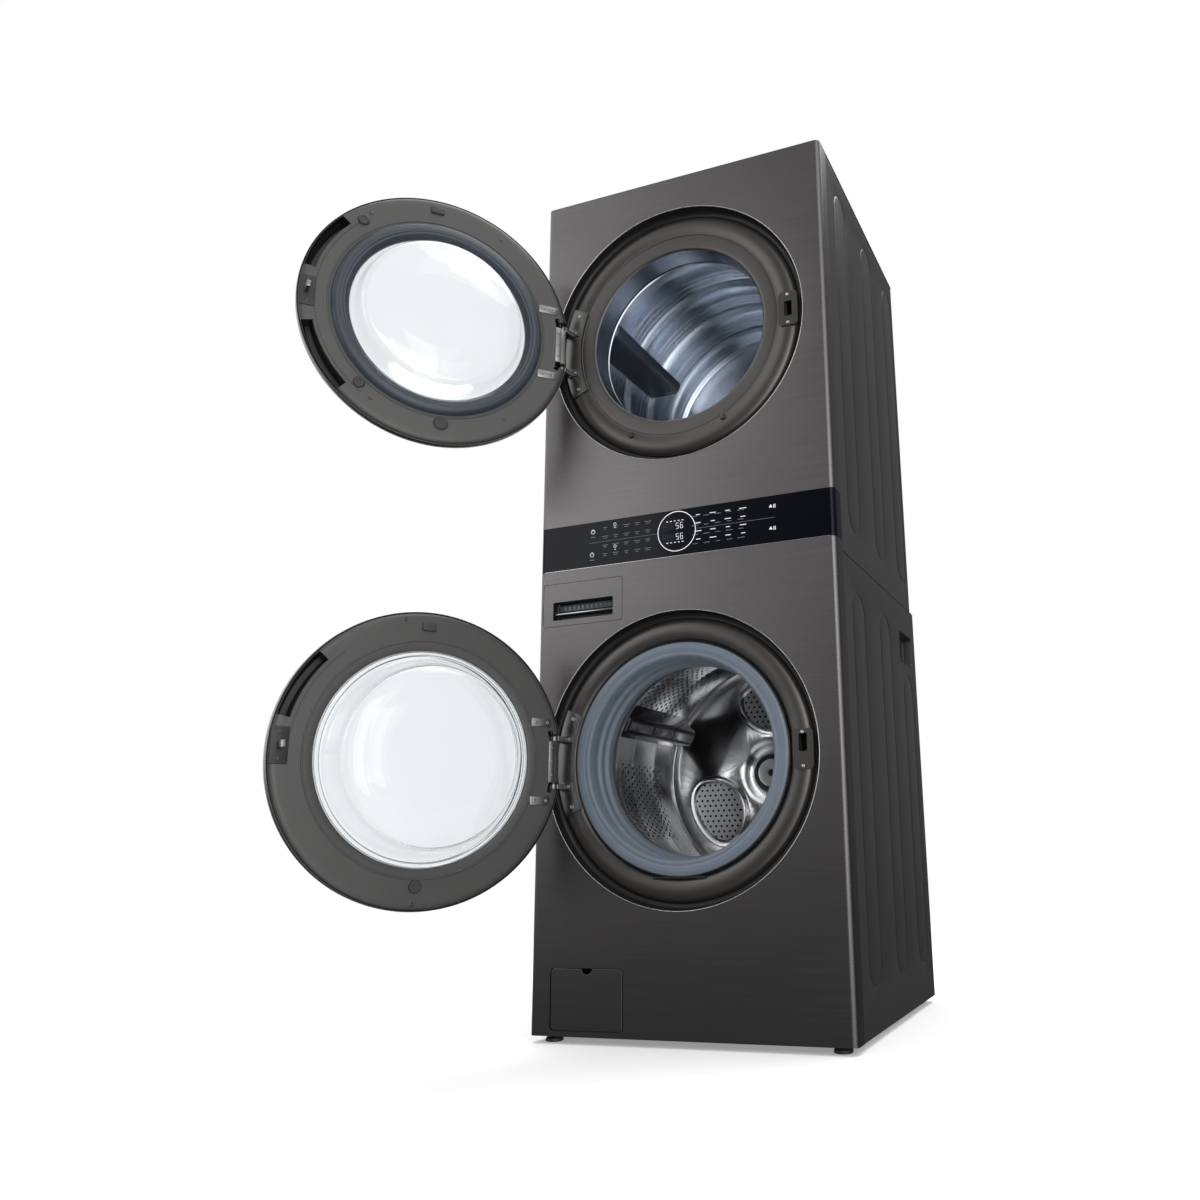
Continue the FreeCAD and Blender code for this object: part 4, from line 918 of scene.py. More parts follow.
# ---- hinge brackets ----
# A cast satin-nickel plate screwed to the left of each surround, with two stout arms that carry the pins.
nickel = satin("satin_nickel", (0.14, 0.143, 0.14), (0.26, 0.262, 0.255), 0.32, grain=1800.0, metallic=1.0)
HINGE = Vector((-288.0, -368.0, 0.0))
ARM_Z, ARM_HALF = 50.0, 6.0
brackets = bmesh.new()
bracket_screws = bmesh.new()
for centre_z in (washer_z, dryer_z):
    spread = 23.5
    turns = [math.radians(180 - spread + 2 * spread * k / 16) for k in range(17)]
    outline = [(axle_x + 282.5 * math.cos(a), centre_z + 282.5 * math.sin(a)) for a in turns]
    outline += [(axle_x + 243 * math.cos(a), centre_z + 243 * math.sin(a)) for a in reversed(turns)]
    ring = [brackets.verts.new((u, -340.4, v)) for u, v in outline]
    leaf = brackets.faces.new(ring)
    grown = bmesh.ops.extrude_face_region(brackets, geom=[leaf], use_keep_orig=True)["geom"]
    bmesh.ops.translate(brackets, verts=[g for g in grown if isinstance(g, bmesh.types.BMVert)], vec=(0, 2, 0))
    edges = [e for e in brackets.edges if all(abs(v.co.y + 340.4) < 0.01 and abs(v.co.z - centre_z) < 120
                                             for v in e.verts)]
    bmesh.ops.bevel(brackets, geom=edges, offset=0.7, affect="EDGES", segments=2, profile=0.5, material=-1)
    for side in (-1, 1):
        z_mid = centre_z + side * ARM_Z
        block(brackets, (HINGE.x - 7, HINGE.y + 1, z_mid - ARM_HALF), (HINGE.x + 11, -338.8, z_mid + ARM_HALF), 2.0, 3)
        rod(brackets, 8.8, 2 * ARM_HALF, (HINGE.x, HINGE.y, z_mid - ARM_HALF), (0, 0, 1), 32, 1.2)
        block(brackets, (HINGE.x + 4, -343, z_mid - 9), (HINGE.x + 30, -339, z_mid + 9), 1.8, 2)
        screw(bracket_screws, (axle_x - 263 * math.cos(math.radians(20.5)), -340.4,
                               centre_z + side * 263 * math.sin(math.radians(20.5))), (0, -1, 0), 4.6, 1.3, 0.2)
        screw(bracket_screws, (HINGE.x + 22, -343, z_mid), (0, -1, 0), 3.2, 1.0, 0.7)
place_piece("hinge_bracket_castings", brackets, nickel, "cabinet", "hinge_steel", "hinge_brackets")
place_piece("hinge_bracket_screws", bracket_screws, screw_zinc, "cabinet", "hinge_steel")

# ---- door gasket ----
# A moulded slate-blue rubber bellows between the washer's surround and its tub, with fine rings moulded in
# its face and a lip that the door's glass bowl closes on.
rubber = Finish("gasket_rubber", coat_weight=0.12, coat_roughness=0.35, sheen_weight=0.1)
radius, angle, along = rubber.around((axle_x * MM, 0, washer_z * MM))
ring_lines = (radius * 900.0 + along * 500.0).maths("SINE", radius * 900.0 + along * 500.0)
dust = rubber.noise(60.0, 4.0)
rubber.drive("Base Color", (ring_lines * 0.12 + dust * 0.5 + 0.2).tint((0.125, 0.160, 0.205), (0.205, 0.250, 0.305)))
rubber.drive("Roughness", 0.38 + dust * 0.12)
rubber.relief(ring_lines * 0.5 + dust * 0.3, 0.16, 0.0006)
BELLOWS = [(237.5, -336.5), (233, -341), (222, -341.8), (216, -339.6), (212, -341.4), (207.5, -340), (205, -334),
           (204, -322), (206.5, -311), (213, -303), (212, -296), (205, -291), (204, -283), (209, -277),
           (206, -271.5), (200, -269), (198.5, -262), (198.5, -252)]
INSIDE = [(203, -252), (203, -264), (211, -268), (215, -277), (209, -284), (209.5, -289), (217, -295),
          (218, -305), (211, -314), (209, -322), (210, -331), (215, -335), (226, -335), (237.5, -331)]
gasket = bmesh.new()
turned(gasket, soften(BELLOWS, 3) + soften(INSIDE, 2), (axle_x, 0, washer_z), steps=160)
place_piece("gasket_bellows", gasket, rubber.material, "cabinet", "gasket_grey", "door_gasket", crease=1.2)
gasket_seat = bmesh.new()
turned(gasket_seat, [(239.5, -337), (237.8, -338.3), (236.5, -337.5), (236.8, -334), (239, -333)],
       (axle_x, 0, washer_z), steps=160)
place_piece("gasket_clamp_ring", gasket_seat, black_and_painted_shade, "cabinet", "gasket_grey")
# A black bar lies where the drain slot opens at the bottom of the lip; its black is painted shade of the opening.
drip = bmesh.new()
block(drip, (axle_x - 60, -337.8, washer_z - 241.5), (axle_x + 55, -334, washer_z - 236.5), 1.5, 2)
place_piece("gasket_drain_slot", drip, black_and_painted_shade, "cabinet", "black_plastic")

# ---- washer tub and drive ----
# A moulded tub in two halves hangs on springs and dampers, with concrete weights on its face and a flat
# motor on its back. None of it shows from outside.
tub_plastic = satin("tub_plastic", (0.42, 0.43, 0.44), (0.52, 0.53, 0.54), 0.5)
concrete = satin("weight_concrete", (0.16, 0.155, 0.15), (0.33, 0.32, 0.31), 0.9, grain=350.0, relief=0.6)
dark_metal = satin("dark_painted_steel", (0.020, 0.020, 0.021), (0.05, 0.05, 0.052), 0.4, metallic=0.4)
copper_grey = satin("motor_grey", (0.10, 0.10, 0.11), (0.22, 0.22, 0.23), 0.45, metallic=0.7)
coat(tub_plastic, "tub_front", "tub_rear")
coat(concrete, "counterweights")
coat(dark_metal, "tub_suspension")
coat(copper_grey, "motor_stator", "motor_rotor", "dryer_motor", "motor_shaft_set")

# ---- washer drum ----
# Polished stainless steel: a perforated wall with broad pressed bands, a rolled front rim, and a back with
# three raised petals. Each petal frames a perforated panel. A grey cap covers the hub.
DRUM_R = 279.0
drum_low, drum_high = limits("washer_drum")
DRUM_FRONT, DRUM_BACK = drum_low.y, 230.0


def holes_mask(across, along, pitch, hole):
    """1 in round holes on a staggered grid, from two places given in metres."""
    depth = None
    for shift in (0.0, 0.5):
        u = (across / pitch + shift).maths("FRACT", across / pitch + shift) - 0.5
        v = ((along / (pitch * 1.732) + shift).maths("FRACT", along / (pitch * 1.732) + shift) - 0.5) * 1.732
        span = (u * u + v * v).maths("SQRT", u * u + v * v)
        depth = span if depth is None else span.maths("MINIMUM", depth, span)
    edge = hole / pitch
    return depth.ramp(edge * 1.15, edge * 0.85)


def drum_metal(name, dark, light, roughness, centre, holes=None):
    """Polished sheet steel with faint turning marks, and holes in a mask made from radius, angle and depth."""
    made = Finish(name, metallic=1.0)
    radius, angle, along = made.around(centre)
    lines = made.noise(1.0, 3.0, (3.0, 700.0, 3.0))
    cloud = made.noise(9.0, 3.0)
    colour = (lines * 0.2 + cloud * 0.6 + 0.1).tint(dark, light)
    sheen = lines * 0.04 + cloud * 0.08 + (roughness - 0.05)
    height = cloud * 0.3
    if holes:
        mask = holes(radius, angle, along, made)
        # Painted shade: each hole is coloured near black and made less metallic, standing in for the dark space seen
        # through it.
        colour = mask.tint(colour, (0.008, 0.008, 0.009))
        sheen = sheen + mask * 0.5
        height = height - mask
        made.drive("Metallic", 1 - mask * 0.7)
    made.drive("Base Color", colour)
    made.drive("Roughness", sheen)
    made.relief(height, 0.5 if holes else 0.04, 0.0015)
    return made.material


washer_axis = (axle_x * MM, 0, washer_z * MM)
dryer_axis = (axle_x * MM, 0, dryer_z * MM)


def wall_holes(radius, angle, along, made):
    """Perforated patches of the drum's wall, between smooth bands."""
    patch_round = (angle * 6.0).maths("SINE", angle * 6.0).ramp(-0.55, -0.35)
    patch_along = (along * 21.0 + 0.8).maths("SINE", along * 21.0 + 0.8).ramp(-0.75, -0.55)
    return holes_mask(angle * (DRUM_R * MM), along, 0.0165, 0.0036) * patch_round * patch_along


def panel_holes(radius, angle, along, made):
    """Perforations all over a flat panel that stands across the axle."""
    x, y, z = made.place.axes()
    return holes_mask(x, z, 0.0150, 0.0031)


wall_steel = drum_metal("washer_drum_wall_steel", (0.66, 0.665, 0.68), (0.86, 0.865, 0.88), 0.19, washer_axis,
                        wall_holes)
smooth_steel = drum_metal("drum_smooth_steel", (0.66, 0.665, 0.68), (0.86, 0.865, 0.88), 0.19, washer_axis)
panel_steel = drum_metal("petal_panel_steel", (0.45, 0.45, 0.455), (0.62, 0.62, 0.625), 0.30, washer_axis,
                         panel_holes)
BAND_WIDE = 118.0
wall_line = []
for k in range(4):
    y = DRUM_FRONT + 8 + k * (DRUM_BACK - DRUM_FRONT - 14) / 4
    wall_line += [(278.4, y), (278.4, y + 96), (275.5, y + 101), (275.5, y + 107), (278.4, y + 111)]
drum = bmesh.new()
inside_line = [(204, DRUM_FRONT + 9), (200.5, DRUM_FRONT + 7), (200, DRUM_FRONT + 3), (201.5, DRUM_FRONT + 0.6),
               (205, DRUM_FRONT), (270, DRUM_FRONT), (277, DRUM_FRONT + 2), (279.8, DRUM_FRONT + 7),
               (279.8, DRUM_BACK - 1)]
turned(drum, inside_line + list(reversed(wall_line)) + [(274, DRUM_FRONT + 4), (210, DRUM_FRONT + 2.2)],
       (axle_x, 0, washer_z), steps=160)
place_piece("washer_drum_wall", drum, wall_steel, "washer_drum", "drum_steel", "washer_drum", crease=0.7)

PETALS = (90.0, 210.0, 330.0)
back = bmesh.new()
panels = bmesh.new()


def petal(turn, scale=1.0):
    """A teardrop that widens away from the hub, turned about the axle to an angle in degrees."""
    points = []
    a = math.radians(turn)
    for k in range(36):
        t = 2 * math.pi * k / 36
        reach = 172 + 78 * scale * math.cos(t)
        half = (98 + 14 * math.cos(t)) * scale * math.sin(t)
        points.append((axle_x + reach * math.cos(a) - half * math.sin(a),
                       washer_z + reach * math.sin(a) + half * math.cos(a)))
    return points


rings = cut_sheet(back, lambda u, v: Vector((u, DRUM_BACK - 1, v)), circle(axle_x, washer_z, 278.2, 120),
                  [petal(turn) for turn in PETALS] + [circle(axle_x, washer_z, 86, 60)])
for ring in rings[:3]:
    press(back, ring, (0, -1, 0), ((4, 5), (4, 4), (8, 0.5), (4, -5), (2, -2.5)))
hub_ring = rings[3]
press(back, hub_ring, (0, -1, 0), ((12, 5), (12, 5), (10, 3.5), (5, 0), (3, -4)))
place_piece("washer_drum_back", back, smooth_steel, "washer_drum", "drum_steel", outward=(0, -1, 0), wall=0.8,
            crease=0.9)
for turn in PETALS:
    ring = [panels.verts.new((u, DRUM_BACK - 4.2, v)) for u, v in petal(turn, 0.78)]
    face = panels.faces.new(ring)
    face.normal_update()
    if face.normal.y > 0:
        face.normal_flip()
    bmesh.ops.inset_region(panels, faces=[face], thickness=6, depth=1.2, use_even_offset=True)
place_piece("washer_drum_petal_panels", panels, panel_steel, "washer_drum", "drum_steel", outward=(0, -1, 0),
            wall=0.6)
hub = bmesh.new()
turned(hub, [(0, DRUM_BACK - 21), (11, DRUM_BACK - 21), (12, DRUM_BACK - 23.5), (30, DRUM_BACK - 24.5),
             (34, DRUM_BACK - 23), (35, DRUM_BACK - 19), (35, DRUM_BACK - 12), (0, DRUM_BACK - 12)],
       (axle_x, 0, washer_z), steps=64, closed=False)
hub_white = satin("hub_cap_grey_white", (0.76, 0.78, 0.80), (0.86, 0.87, 0.88), 0.35, metallic=0.4)
place_piece("washer_hub_cap", hub, hub_white, "washer_drum", "lifter_plastic", crease=0.5)
hub = bmesh.new()
turned(hub, [(35.2, DRUM_BACK - 12), (35.2, DRUM_BACK - 20), (38, DRUM_BACK - 21.5), (43, DRUM_BACK - 19),
             (45, DRUM_BACK - 12)], (axle_x, 0, washer_z), steps=64)
rod(hub, 9.5, 2.5, (axle_x, DRUM_BACK - 23, washer_z), (0, 1, 0), 6, 0.6)
place_piece("washer_hub_ring", hub, dark_metal, "washer_drum", "dark_steel")

# ---- washer lifters ----
# Three hollow paddles clipped to the drum's wall: glossy dark plastic flanks under a perforated steel crown,
# with two low steps near the middle.
lifter_dark = satin("lifter_dark_gloss", (0.010, 0.010, 0.012), (0.024, 0.024, 0.028), 0.12, metallic=0.2)


def paddle(shape, reach, base_half, top_half, y0, y1, wall_r, centre_z, turn, radius):
    """A tapered paddle that stands on a drum's wall and points at its axle."""
    base_z, top_z = centre_z - wall_r + 4, centre_z - wall_r + reach
    before = set(shape.verts)
    made = bmesh.ops.create_cube(shape, size=1.0)["verts"]
    for vert in made:
        half = base_half if vert.co.z < 0 else top_half
        end = 0.0 if vert.co.z < 0 else 10.0
        vert.co = Vector((axle_x + math.copysign(half, vert.co.x), y0 + end if vert.co.y < 0 else y1 - end,
                          base_z if vert.co.z < 0 else top_z))
    edges = [e for e in {e for v in made for e in v.link_edges} if max(v.co.z for v in e.verts) > top_z - 1]
    bmesh.ops.bevel(shape, geom=edges, offset=radius, affect="EDGES", segments=5, profile=0.5, material=-1)
    place = Matrix.Translation((axle_x, 0, centre_z)) @ Matrix.Rotation(math.radians(turn), 4, "Y") \
        @ Matrix.Translation((-axle_x, 0, -centre_z))
    bmesh.ops.transform(shape, verts=[v for v in shape.verts if v not in before], matrix=place)
    return place


LIFTERS = (115, 235, 355)
paddles = bmesh.new()
crowns = bmesh.new()
for turn in LIFTERS:
    place = paddle(paddles, 60.5, 41, 19, -189, 189, DRUM_R, washer_z, turn, 8)
    top_z = washer_z - DRUM_R + 60.5
    for y0, y1 in ((-172, -60), (-48, 48), (60, 172)):
        block(crowns, (axle_x - 10, y0, top_z - 1.5), (axle_x + 10, y1, top_z + 1.2), 0.9, 2, place)
place_piece("washer_lifter_bodies", paddles, lifter_dark, "washer_drum", "lifter_plastic", "washer_lifters",
            crease=0.7)


def crown_holes(radius, angle, along, made):
    """A row of perforations along each lifter's crown."""
    return holes_mask(angle * 0.2185, along, 0.0078, 0.0019)


crown_steel = drum_metal("lifter_crown_steel", (0.30, 0.30, 0.31), (0.50, 0.50, 0.51), 0.2, washer_axis, crown_holes)
place_piece("washer_lifter_crowns", crowns, crown_steel, "washer_drum", "drum_steel", crease=0.6)

# ---- dryer drum ----
# Bluish polished stainless steel with groups of ribs rolled round its wall, a dished back, and three tall
# fins that tumble the clothes.
DRY_R = 300.0
dry_low, dry_high = limits("dryer_drum")
DRY_FRONT, DRY_BACK = dry_low.y, 296.0
blue_steel = drum_metal("dryer_drum_steel", (0.66, 0.71, 0.79), (0.84, 0.89, 0.96), 0.19, dryer_axis)
rib_line = [(299.4, DRY_FRONT + 6)]
for group_y, count in ((-196, 2), (-70, 3), (56, 3), (176, 3)):
    for k in range(count):
        y = group_y + 17 * k
        rib_line += [(299.4, y - 6), (297.2, y - 3), (295.4, y), (297.2, y + 3), (299.4, y + 6)]
rib_line += [(299.4, DRY_BACK - 10), (296, DRY_BACK - 4)]
drum = bmesh.new()
turned(drum, [(209, DRY_FRONT + 6), (207, DRY_FRONT + 3), (209, DRY_FRONT + 0.5), (292, DRY_FRONT),
              (299, DRY_FRONT + 2), (300.8, DRY_FRONT + 6), (300.8, DRY_BACK)] + list(reversed(rib_line))
       + [(292, DRY_FRONT + 3), (215, DRY_FRONT + 3)], (axle_x, 0, dryer_z), steps=180)
place_piece("dryer_drum_wall", drum, blue_steel, "dryer_drum", "drum_steel", "dryer_drum", crease=0.8)
back = bmesh.new()
turned(back, [(0, DRY_BACK - 1), (60, DRY_BACK - 1), (70, DRY_BACK - 3.5), (78, DRY_BACK - 1.5), (150, DRY_BACK - 1),
              (158, DRY_BACK - 4), (166, DRY_BACK - 1.5), (176, DRY_BACK - 1.5), (184, DRY_BACK - 4),
              (192, DRY_BACK - 1), (262, DRY_BACK - 1), (272, DRY_BACK - 5), (284, DRY_BACK - 6),
              (296, DRY_BACK - 4), (299.6, DRY_BACK - 2), (299.6, DRY_BACK + 0.8), (15, DRY_BACK + 0.8),
              (15, dry_high.y - 1), (13.5, dry_high.y), (0, dry_high.y)], (axle_x, 0, dryer_z), steps=160,
       closed=False)
place_piece("dryer_drum_back", back, blue_steel, "dryer_drum", "drum_steel", crease=0.8)
fin_blue = satin("fin_blue_grey", (0.045, 0.060, 0.080), (0.085, 0.105, 0.135), 0.24, coat_weight=0.2)
fins = bmesh.new()
for turn in LIFTERS:
    place = paddle(fins, 82, 45, 14.5, -254, 119, DRY_R, dryer_z, turn, 9)
place_piece("dryer_fins", fins, fin_blue, "dryer_drum", "lifter_plastic", "dryer_lifters", crease=0.7)

# ---- dryer drive and lint filter ----
# A motor turns the drum through a flat ribbed belt and blows air through the ducts. The lint filter lifts
# out of the mouth's lower edge by its handle.
belt_rubber = satin("belt_rubber", (0.010, 0.010, 0.010), (0.025, 0.025, 0.025), 0.7)
duct_zinc = galvanised("duct_zinc", (0.22, 0.225, 0.23), (0.38, 0.385, 0.39), 0.4)
coat(belt_rubber, "drive_belt")
coat(duct_zinc, "air_ducts")
mesh = Finish("lint_mesh", metallic=0.2)
mesh_x, mesh_y, mesh_z = mesh.place.axes()
weave = (mesh_x * 5200.0).maths("SINE", mesh_x * 5200.0) * (mesh_z * 5200.0).maths("SINE", mesh_z * 5200.0)
mesh.drive("Base Color", weave.ramp(-0.4, 0.6).tint((0.02, 0.02, 0.022), (0.16, 0.165, 0.17)))
mesh.drive("Roughness", 0.5 + mesh.noise(50.0) * 0.1)
mesh.relief(weave, 0.3)
coat(mesh.material, "lint_filter")

# ---- doors ----
# Both doors are alike: a dark metallic rim, a flat inner ring of satin plastic screwed to it, a clear window
# and a clear glass bowl. They are drawn closed and then swung about the hinge to where they stand.
STANDING = {joint["name"][:-len("_hinge")]: math.radians(joint["range_deg"][0])
            for joint in frame["record"]["behaviour"]["joints"] if joint["name"].endswith("_door_hinge")}


def swing(shape, door):
    """Turns a closed door's shape about its hinge to the angle at which the door stands open."""
    pin = Vector((HINGE.x, HINGE.y, 0))
    turn = Matrix.Translation(pin) @ Matrix.Rotation(STANDING[door], 4, "Z") @ Matrix.Translation(-pin)
    bmesh.ops.transform(shape, verts=shape.verts, matrix=turn)


def sector(shape, outline, centre, start, end):
    """Turns a closed outline of (radius, along) part of the way round, from start to end in degrees."""
    first, last = math.radians(start), math.radians(end)
    verts = [shape.verts.new((centre[0] + r * math.cos(first), a, centre[2] + r * math.sin(first)))
             for r, a in outline]
    edges = [shape.edges.new(pair) for pair in zip(verts, verts[1:] + verts[:1])]
    bmesh.ops.contextual_create(shape, geom=edges)
    made = bmesh.ops.spin(shape, geom=verts + edges, cent=centre, axis=(0, -1, 0), angle=last - first,
                          steps=max(4, int(abs(end - start) / 2)))["geom_last"]
    bmesh.ops.contextual_create(shape, geom=[g for g in made if isinstance(g, bmesh.types.BMEdge)])


def drop_faces(shape, test):
    """Removes the faces whose middle passes a test of (x, y, z)."""
    gone = [f for f in shape.faces if test(*f.calc_center_median())]
    bmesh.ops.delete(shape, geom=gone, context="FACES")


rim_metal = satin("door_rim_metallic", (0.060, 0.057, 0.054), (0.105, 0.100, 0.095), 0.26, grain=2200.0,
                  metallic=0.85, coat_weight=0.2, coat_roughness=0.2)
ring_grey = satin("door_ring_satin", (0.060, 0.060, 0.059), (0.095, 0.094, 0.092), 0.42, grain=1600.0,
                  metallic=0.25)
grip_dark = satin("door_grip_black", (0.008, 0.008, 0.008), (0.02, 0.02, 0.02), 0.45)


def clear(name, tint, roughness):
    """Clear toughened glass with faint waviness."""
    made = Finish(name, transmission_weight=1.0, ior=1.45, specular_ior_level=0.5)
    smear = made.noise(12.0, 3.0)
    made.drive("Base Color", smear.tint(tuple(0.97 * c for c in tint), tint))
    made.drive("Roughness", smear * 0.02 + roughness)
    made.relief(made.noise(6.0, 1.0), 0.02)
    return made.material


window_glass = clear("window_glass", (0.95, 0.965, 0.975), 0.0)
bowl_glass = clear("bowl_glass", (0.91, 0.93, 0.94), 0.0)
seal_blue = satin("seal_blue_grey", (0.030, 0.040, 0.055), (0.060, 0.075, 0.095), 0.42)
bumper_grey = satin("bumper_rubber", (0.035, 0.035, 0.037), (0.06, 0.06, 0.062), 0.6)
seat_bright = satin("glass_seat_bright", (0.55, 0.57, 0.58), (0.72, 0.74, 0.75), 0.22, metallic=0.6)
GRIPS = {"washer_door": [(14, 42)], "dryer_door": [(12, 42), (-46, -14)]}
SHELL = [(284.4, -351.7), (285.6, -351.7), (286.2, -360), (285.4, -370), (282.7, -374.8), (272, -383.8),
         (250, -386.6), (229.4, -388), (229.4, -384.6), (270.4, -380.5), (280.5, -372), (284.5, -360)]
WINDOW = [(0, -389.4), (60, -389.3), (120, -389.1), (180, -388.5), (226, -387.8), (228.2, -386.6), (228.2, -384.4),
          (226, -384), (120, -384.6), (0, -385)]
BOWLS = {"washer_door": ([(207.4, -352.1), (203, -350.6), (198, -349.4), (190, -344.5), (183.5, -336), (178, -320),
                          (172.5, -303.5), (168, -296), (160, -291), (130, -288.4), (90, -286), (40, -284.6),
                          (0, -284)],
                         [(0, -288), (90, -290), (156, -295), (168.5, -304), (181, -341), (196, -353),
                          (197, -357.3), (207.4, -357.3)]),
         "dryer_door": ([(207.4, -353.2), (186, -353.1), (180, -350.5), (175.5, -344.5), (170, -329), (166, -318),
                         (161, -312.5), (153, -309), (120, -306.2), (80, -304), (0, -302.6)],
                        [(0, -306.5), (80, -308), (151, -313), (162.6, -321), (172.5, -348.5), (181, -357.3),
                         (207.4, -357.3)])}
PADS = {"washer_door": ([(8, 255, 14, 8.5)], [(12, -240, 12.5)]),
        "dryer_door": ([(18, 257, 14.5, 7.6)], [(168, 190, 12.5), (156, -181, 12.5), (-10, -240, 15.5)])}
RING_SCREWS = {"washer_door": [(56, 266), (-246, -86), (-233, 86), (-250, 64), (17, -272)],
               "dryer_door": [(154, 210), (-123, 226), (-144, -206), (133, -212), (-240, 86), (-240, -86)]}
NOTCH_Z = 60.0
for door, centre_z in (("washer_door", washer_z), ("dryer_door", dryer_z)):
    centre = (axle_x, 0, centre_z)
    hook_z = centre_z + (LATCHES["washer"] if door == "washer_door" else 0.0)
    node = door

    def put(name, shape, material, slot, *nodes, door=door, **options):
        swing(shape, door)
        place_piece(door + "_" + name, shape, material, door, slot, *nodes, **options)

    shell = bmesh.new()
    turned(shell, SHELL, centre, steps=180)
    drop_faces(shell, lambda x, y, z: x < -274 and y > -379 and abs(z - centre_z) < NOTCH_Z)
    put("outer_rim", shell, rim_metal, "door_rim", door + "_shell", crease=0.6)
    pane = bmesh.new()
    turned(pane, WINDOW, centre, steps=120, closed=False)
    put("outer_window", pane, window_glass, "clear_glass", door + "_window", crease=0.5)

    # The inner ring, with its finger grips cut out, a bead round the glass and one that follows the grips.
    ring = bmesh.new()
    line = [(208.2, -356.8), (208.2, -350), (209.2, -347.9), (212, -347.1), (225.0, -347.1), (226.0, -346.0),
            (228.0, -346.0), (229.0, -347.1), (259, -347.1), (270, -347.1), (275, -347.3), (280, -348.8),
            (282.6, -351.5), (283.8, -355), (283.8, -359.8), (281, -359.8), (280.5, -355.5), (273, -350.5),
            (259, -350.5), (213, -350.5), (211, -356.8)]
    turned(ring, line, centre, steps=180)
    for start, end in GRIPS[door]:
        drop_faces(ring, lambda x, y, z: math.hypot(x - axle_x, z - centre_z) > 259.5
                   and start < math.degrees(math.atan2(z - centre_z, x - axle_x)) < end)
    drop_faces(ring, lambda x, y, z: x < -266 and abs(z - centre_z) < NOTCH_Z)
    drop_faces(ring, lambda x, y, z: abs(x - LATCH_X) < 7 and abs(z - hook_z) < 11)
    put("inner_ring", ring, ring_grey, "door_inner", door + "_ring", crease=0.6)
    pockets = bmesh.new()
    bevels = bmesh.new()
    for start, end in GRIPS[door]:
        sector(pockets, [(259, -347.6), (259, -374), (262, -379.2), (272.5, -379.2), (280.8, -371.5),
                         (283.6, -357), (282.6, -351.6), (281, -349.4)], centre, start, end)
        sector(bevels, [(256.6, -347.0), (259.6, -349.2), (259.6, -351), (256.6, -350)], centre, start - 1, end + 1)
        sector(bevels, [(250.6, -347.3), (251.4, -346.3), (252.4, -346.3), (253.2, -347.3)], centre,
               start - 7, end + 7)
    bmesh.ops.recalc_face_normals(pockets, faces=pockets.faces)
    drop_faces(pockets, lambda x, y, z: y > -350 and math.hypot(x - axle_x, z - centre_z) > 262)
    opened = Matrix.Rotation(STANDING[door], 3, "Z") @ Vector((0, 1, 0))
    put("finger_grips", pockets, grip_dark, "black_plastic", crease=0.5, outward=opened, wall=0.6)
    put("grip_edges", bevels, ring_grey, "door_inner", crease=0.5)

    pad = bmesh.new()
    block(pad, (LATCH_X - 16.5, -348, hook_z - 33.5), (LATCH_X + 14.5, -345.2, hook_z + 33.5), 1.3, 3)
    put("latch_pad", pad, grip_dark, "door_inner")
    bowl = bmesh.new()
    outer, inner = BOWLS[door]
    turned(bowl, outer + inner, centre, steps=120, closed=False)
    put("glass_bowl", bowl, bowl_glass, "clear_glass", door + "_glass", crease=0.6)
    seat = bmesh.new()
    if door == "washer_door":
        turned(seat, [(204.5, -352.2), (205.2, -350.4), (206.6, -349.6), (208.0, -350.2), (208.1, -352.2)], centre,
               steps=160)
        turned(seat, [(197.6, -349.0), (198.6, -348.2), (199.8, -348.6), (199.6, -349.8)], centre, steps=160)
    else:
        turned(seat, [(183.4, -352.8), (183.8, -351.2), (185.0, -351.2), (185.2, -352.8)], centre, steps=160)
        lips = bmesh.new()
        lip_line = [(185.3, -352.4), (185.6, -347.6), (189, -342.5), (194, -338.2), (198, -337.8), (200, -336.4),
                    (203, -336.2), (206, -335.2), (209, -336.2), (212, -336.4), (216, -338.2), (219, -341.6),
                    (221.8, -346.5)]
        turned(lips, lip_line + [(211.5, -346.8), (207.2, -350.4), (207.2, -352.4)], centre, steps=160)
        put("glass_seal", lips, seal_blue, "seal_blue", door + "_seal", crease=0.5)
    put("glass_seat", seat, seat_bright, "chrome")

    bumpers = bmesh.new()
    ovals, rounds = PADS[door]
    for dx, dz, wide, high in ovals:
        block(bumpers, (axle_x + dx - wide, -347, centre_z + dz - high), (axle_x + dx + wide, -342.8,
                                                                            centre_z + dz + high), 2.0, 3)
    for dx, dz, radius in rounds:
        at = (axle_x + dx, 0, centre_z + dz)
        turned(bumpers, [(0, -343.6), (radius * 0.42, -343.6), (radius * 0.5, -342.8), (radius * 0.78, -342.8),
                         (radius * 0.92, -344), (radius, -347), (0, -347)], at, steps=32, closed=False)
    put("bumpers", bumpers, bumper_grey, "bumper_rubber", door + "_bumpers", crease=0.5)
    screws = bmesh.new()
    for dx, dz in RING_SCREWS[door]:
        screw(screws, (axle_x + dx, -347.1, centre_z + dz), (0, 1, 0), 4.2, 1.3, 0.5)
    for z in (hook_z + 24, hook_z - 24):
        screw(screws, (LATCH_X - 1, -345.2, z), (0, 1, 0), 3.6, 1.1, 0.2)
    put("ring_screws", screws, dark_screw, "door_inner")

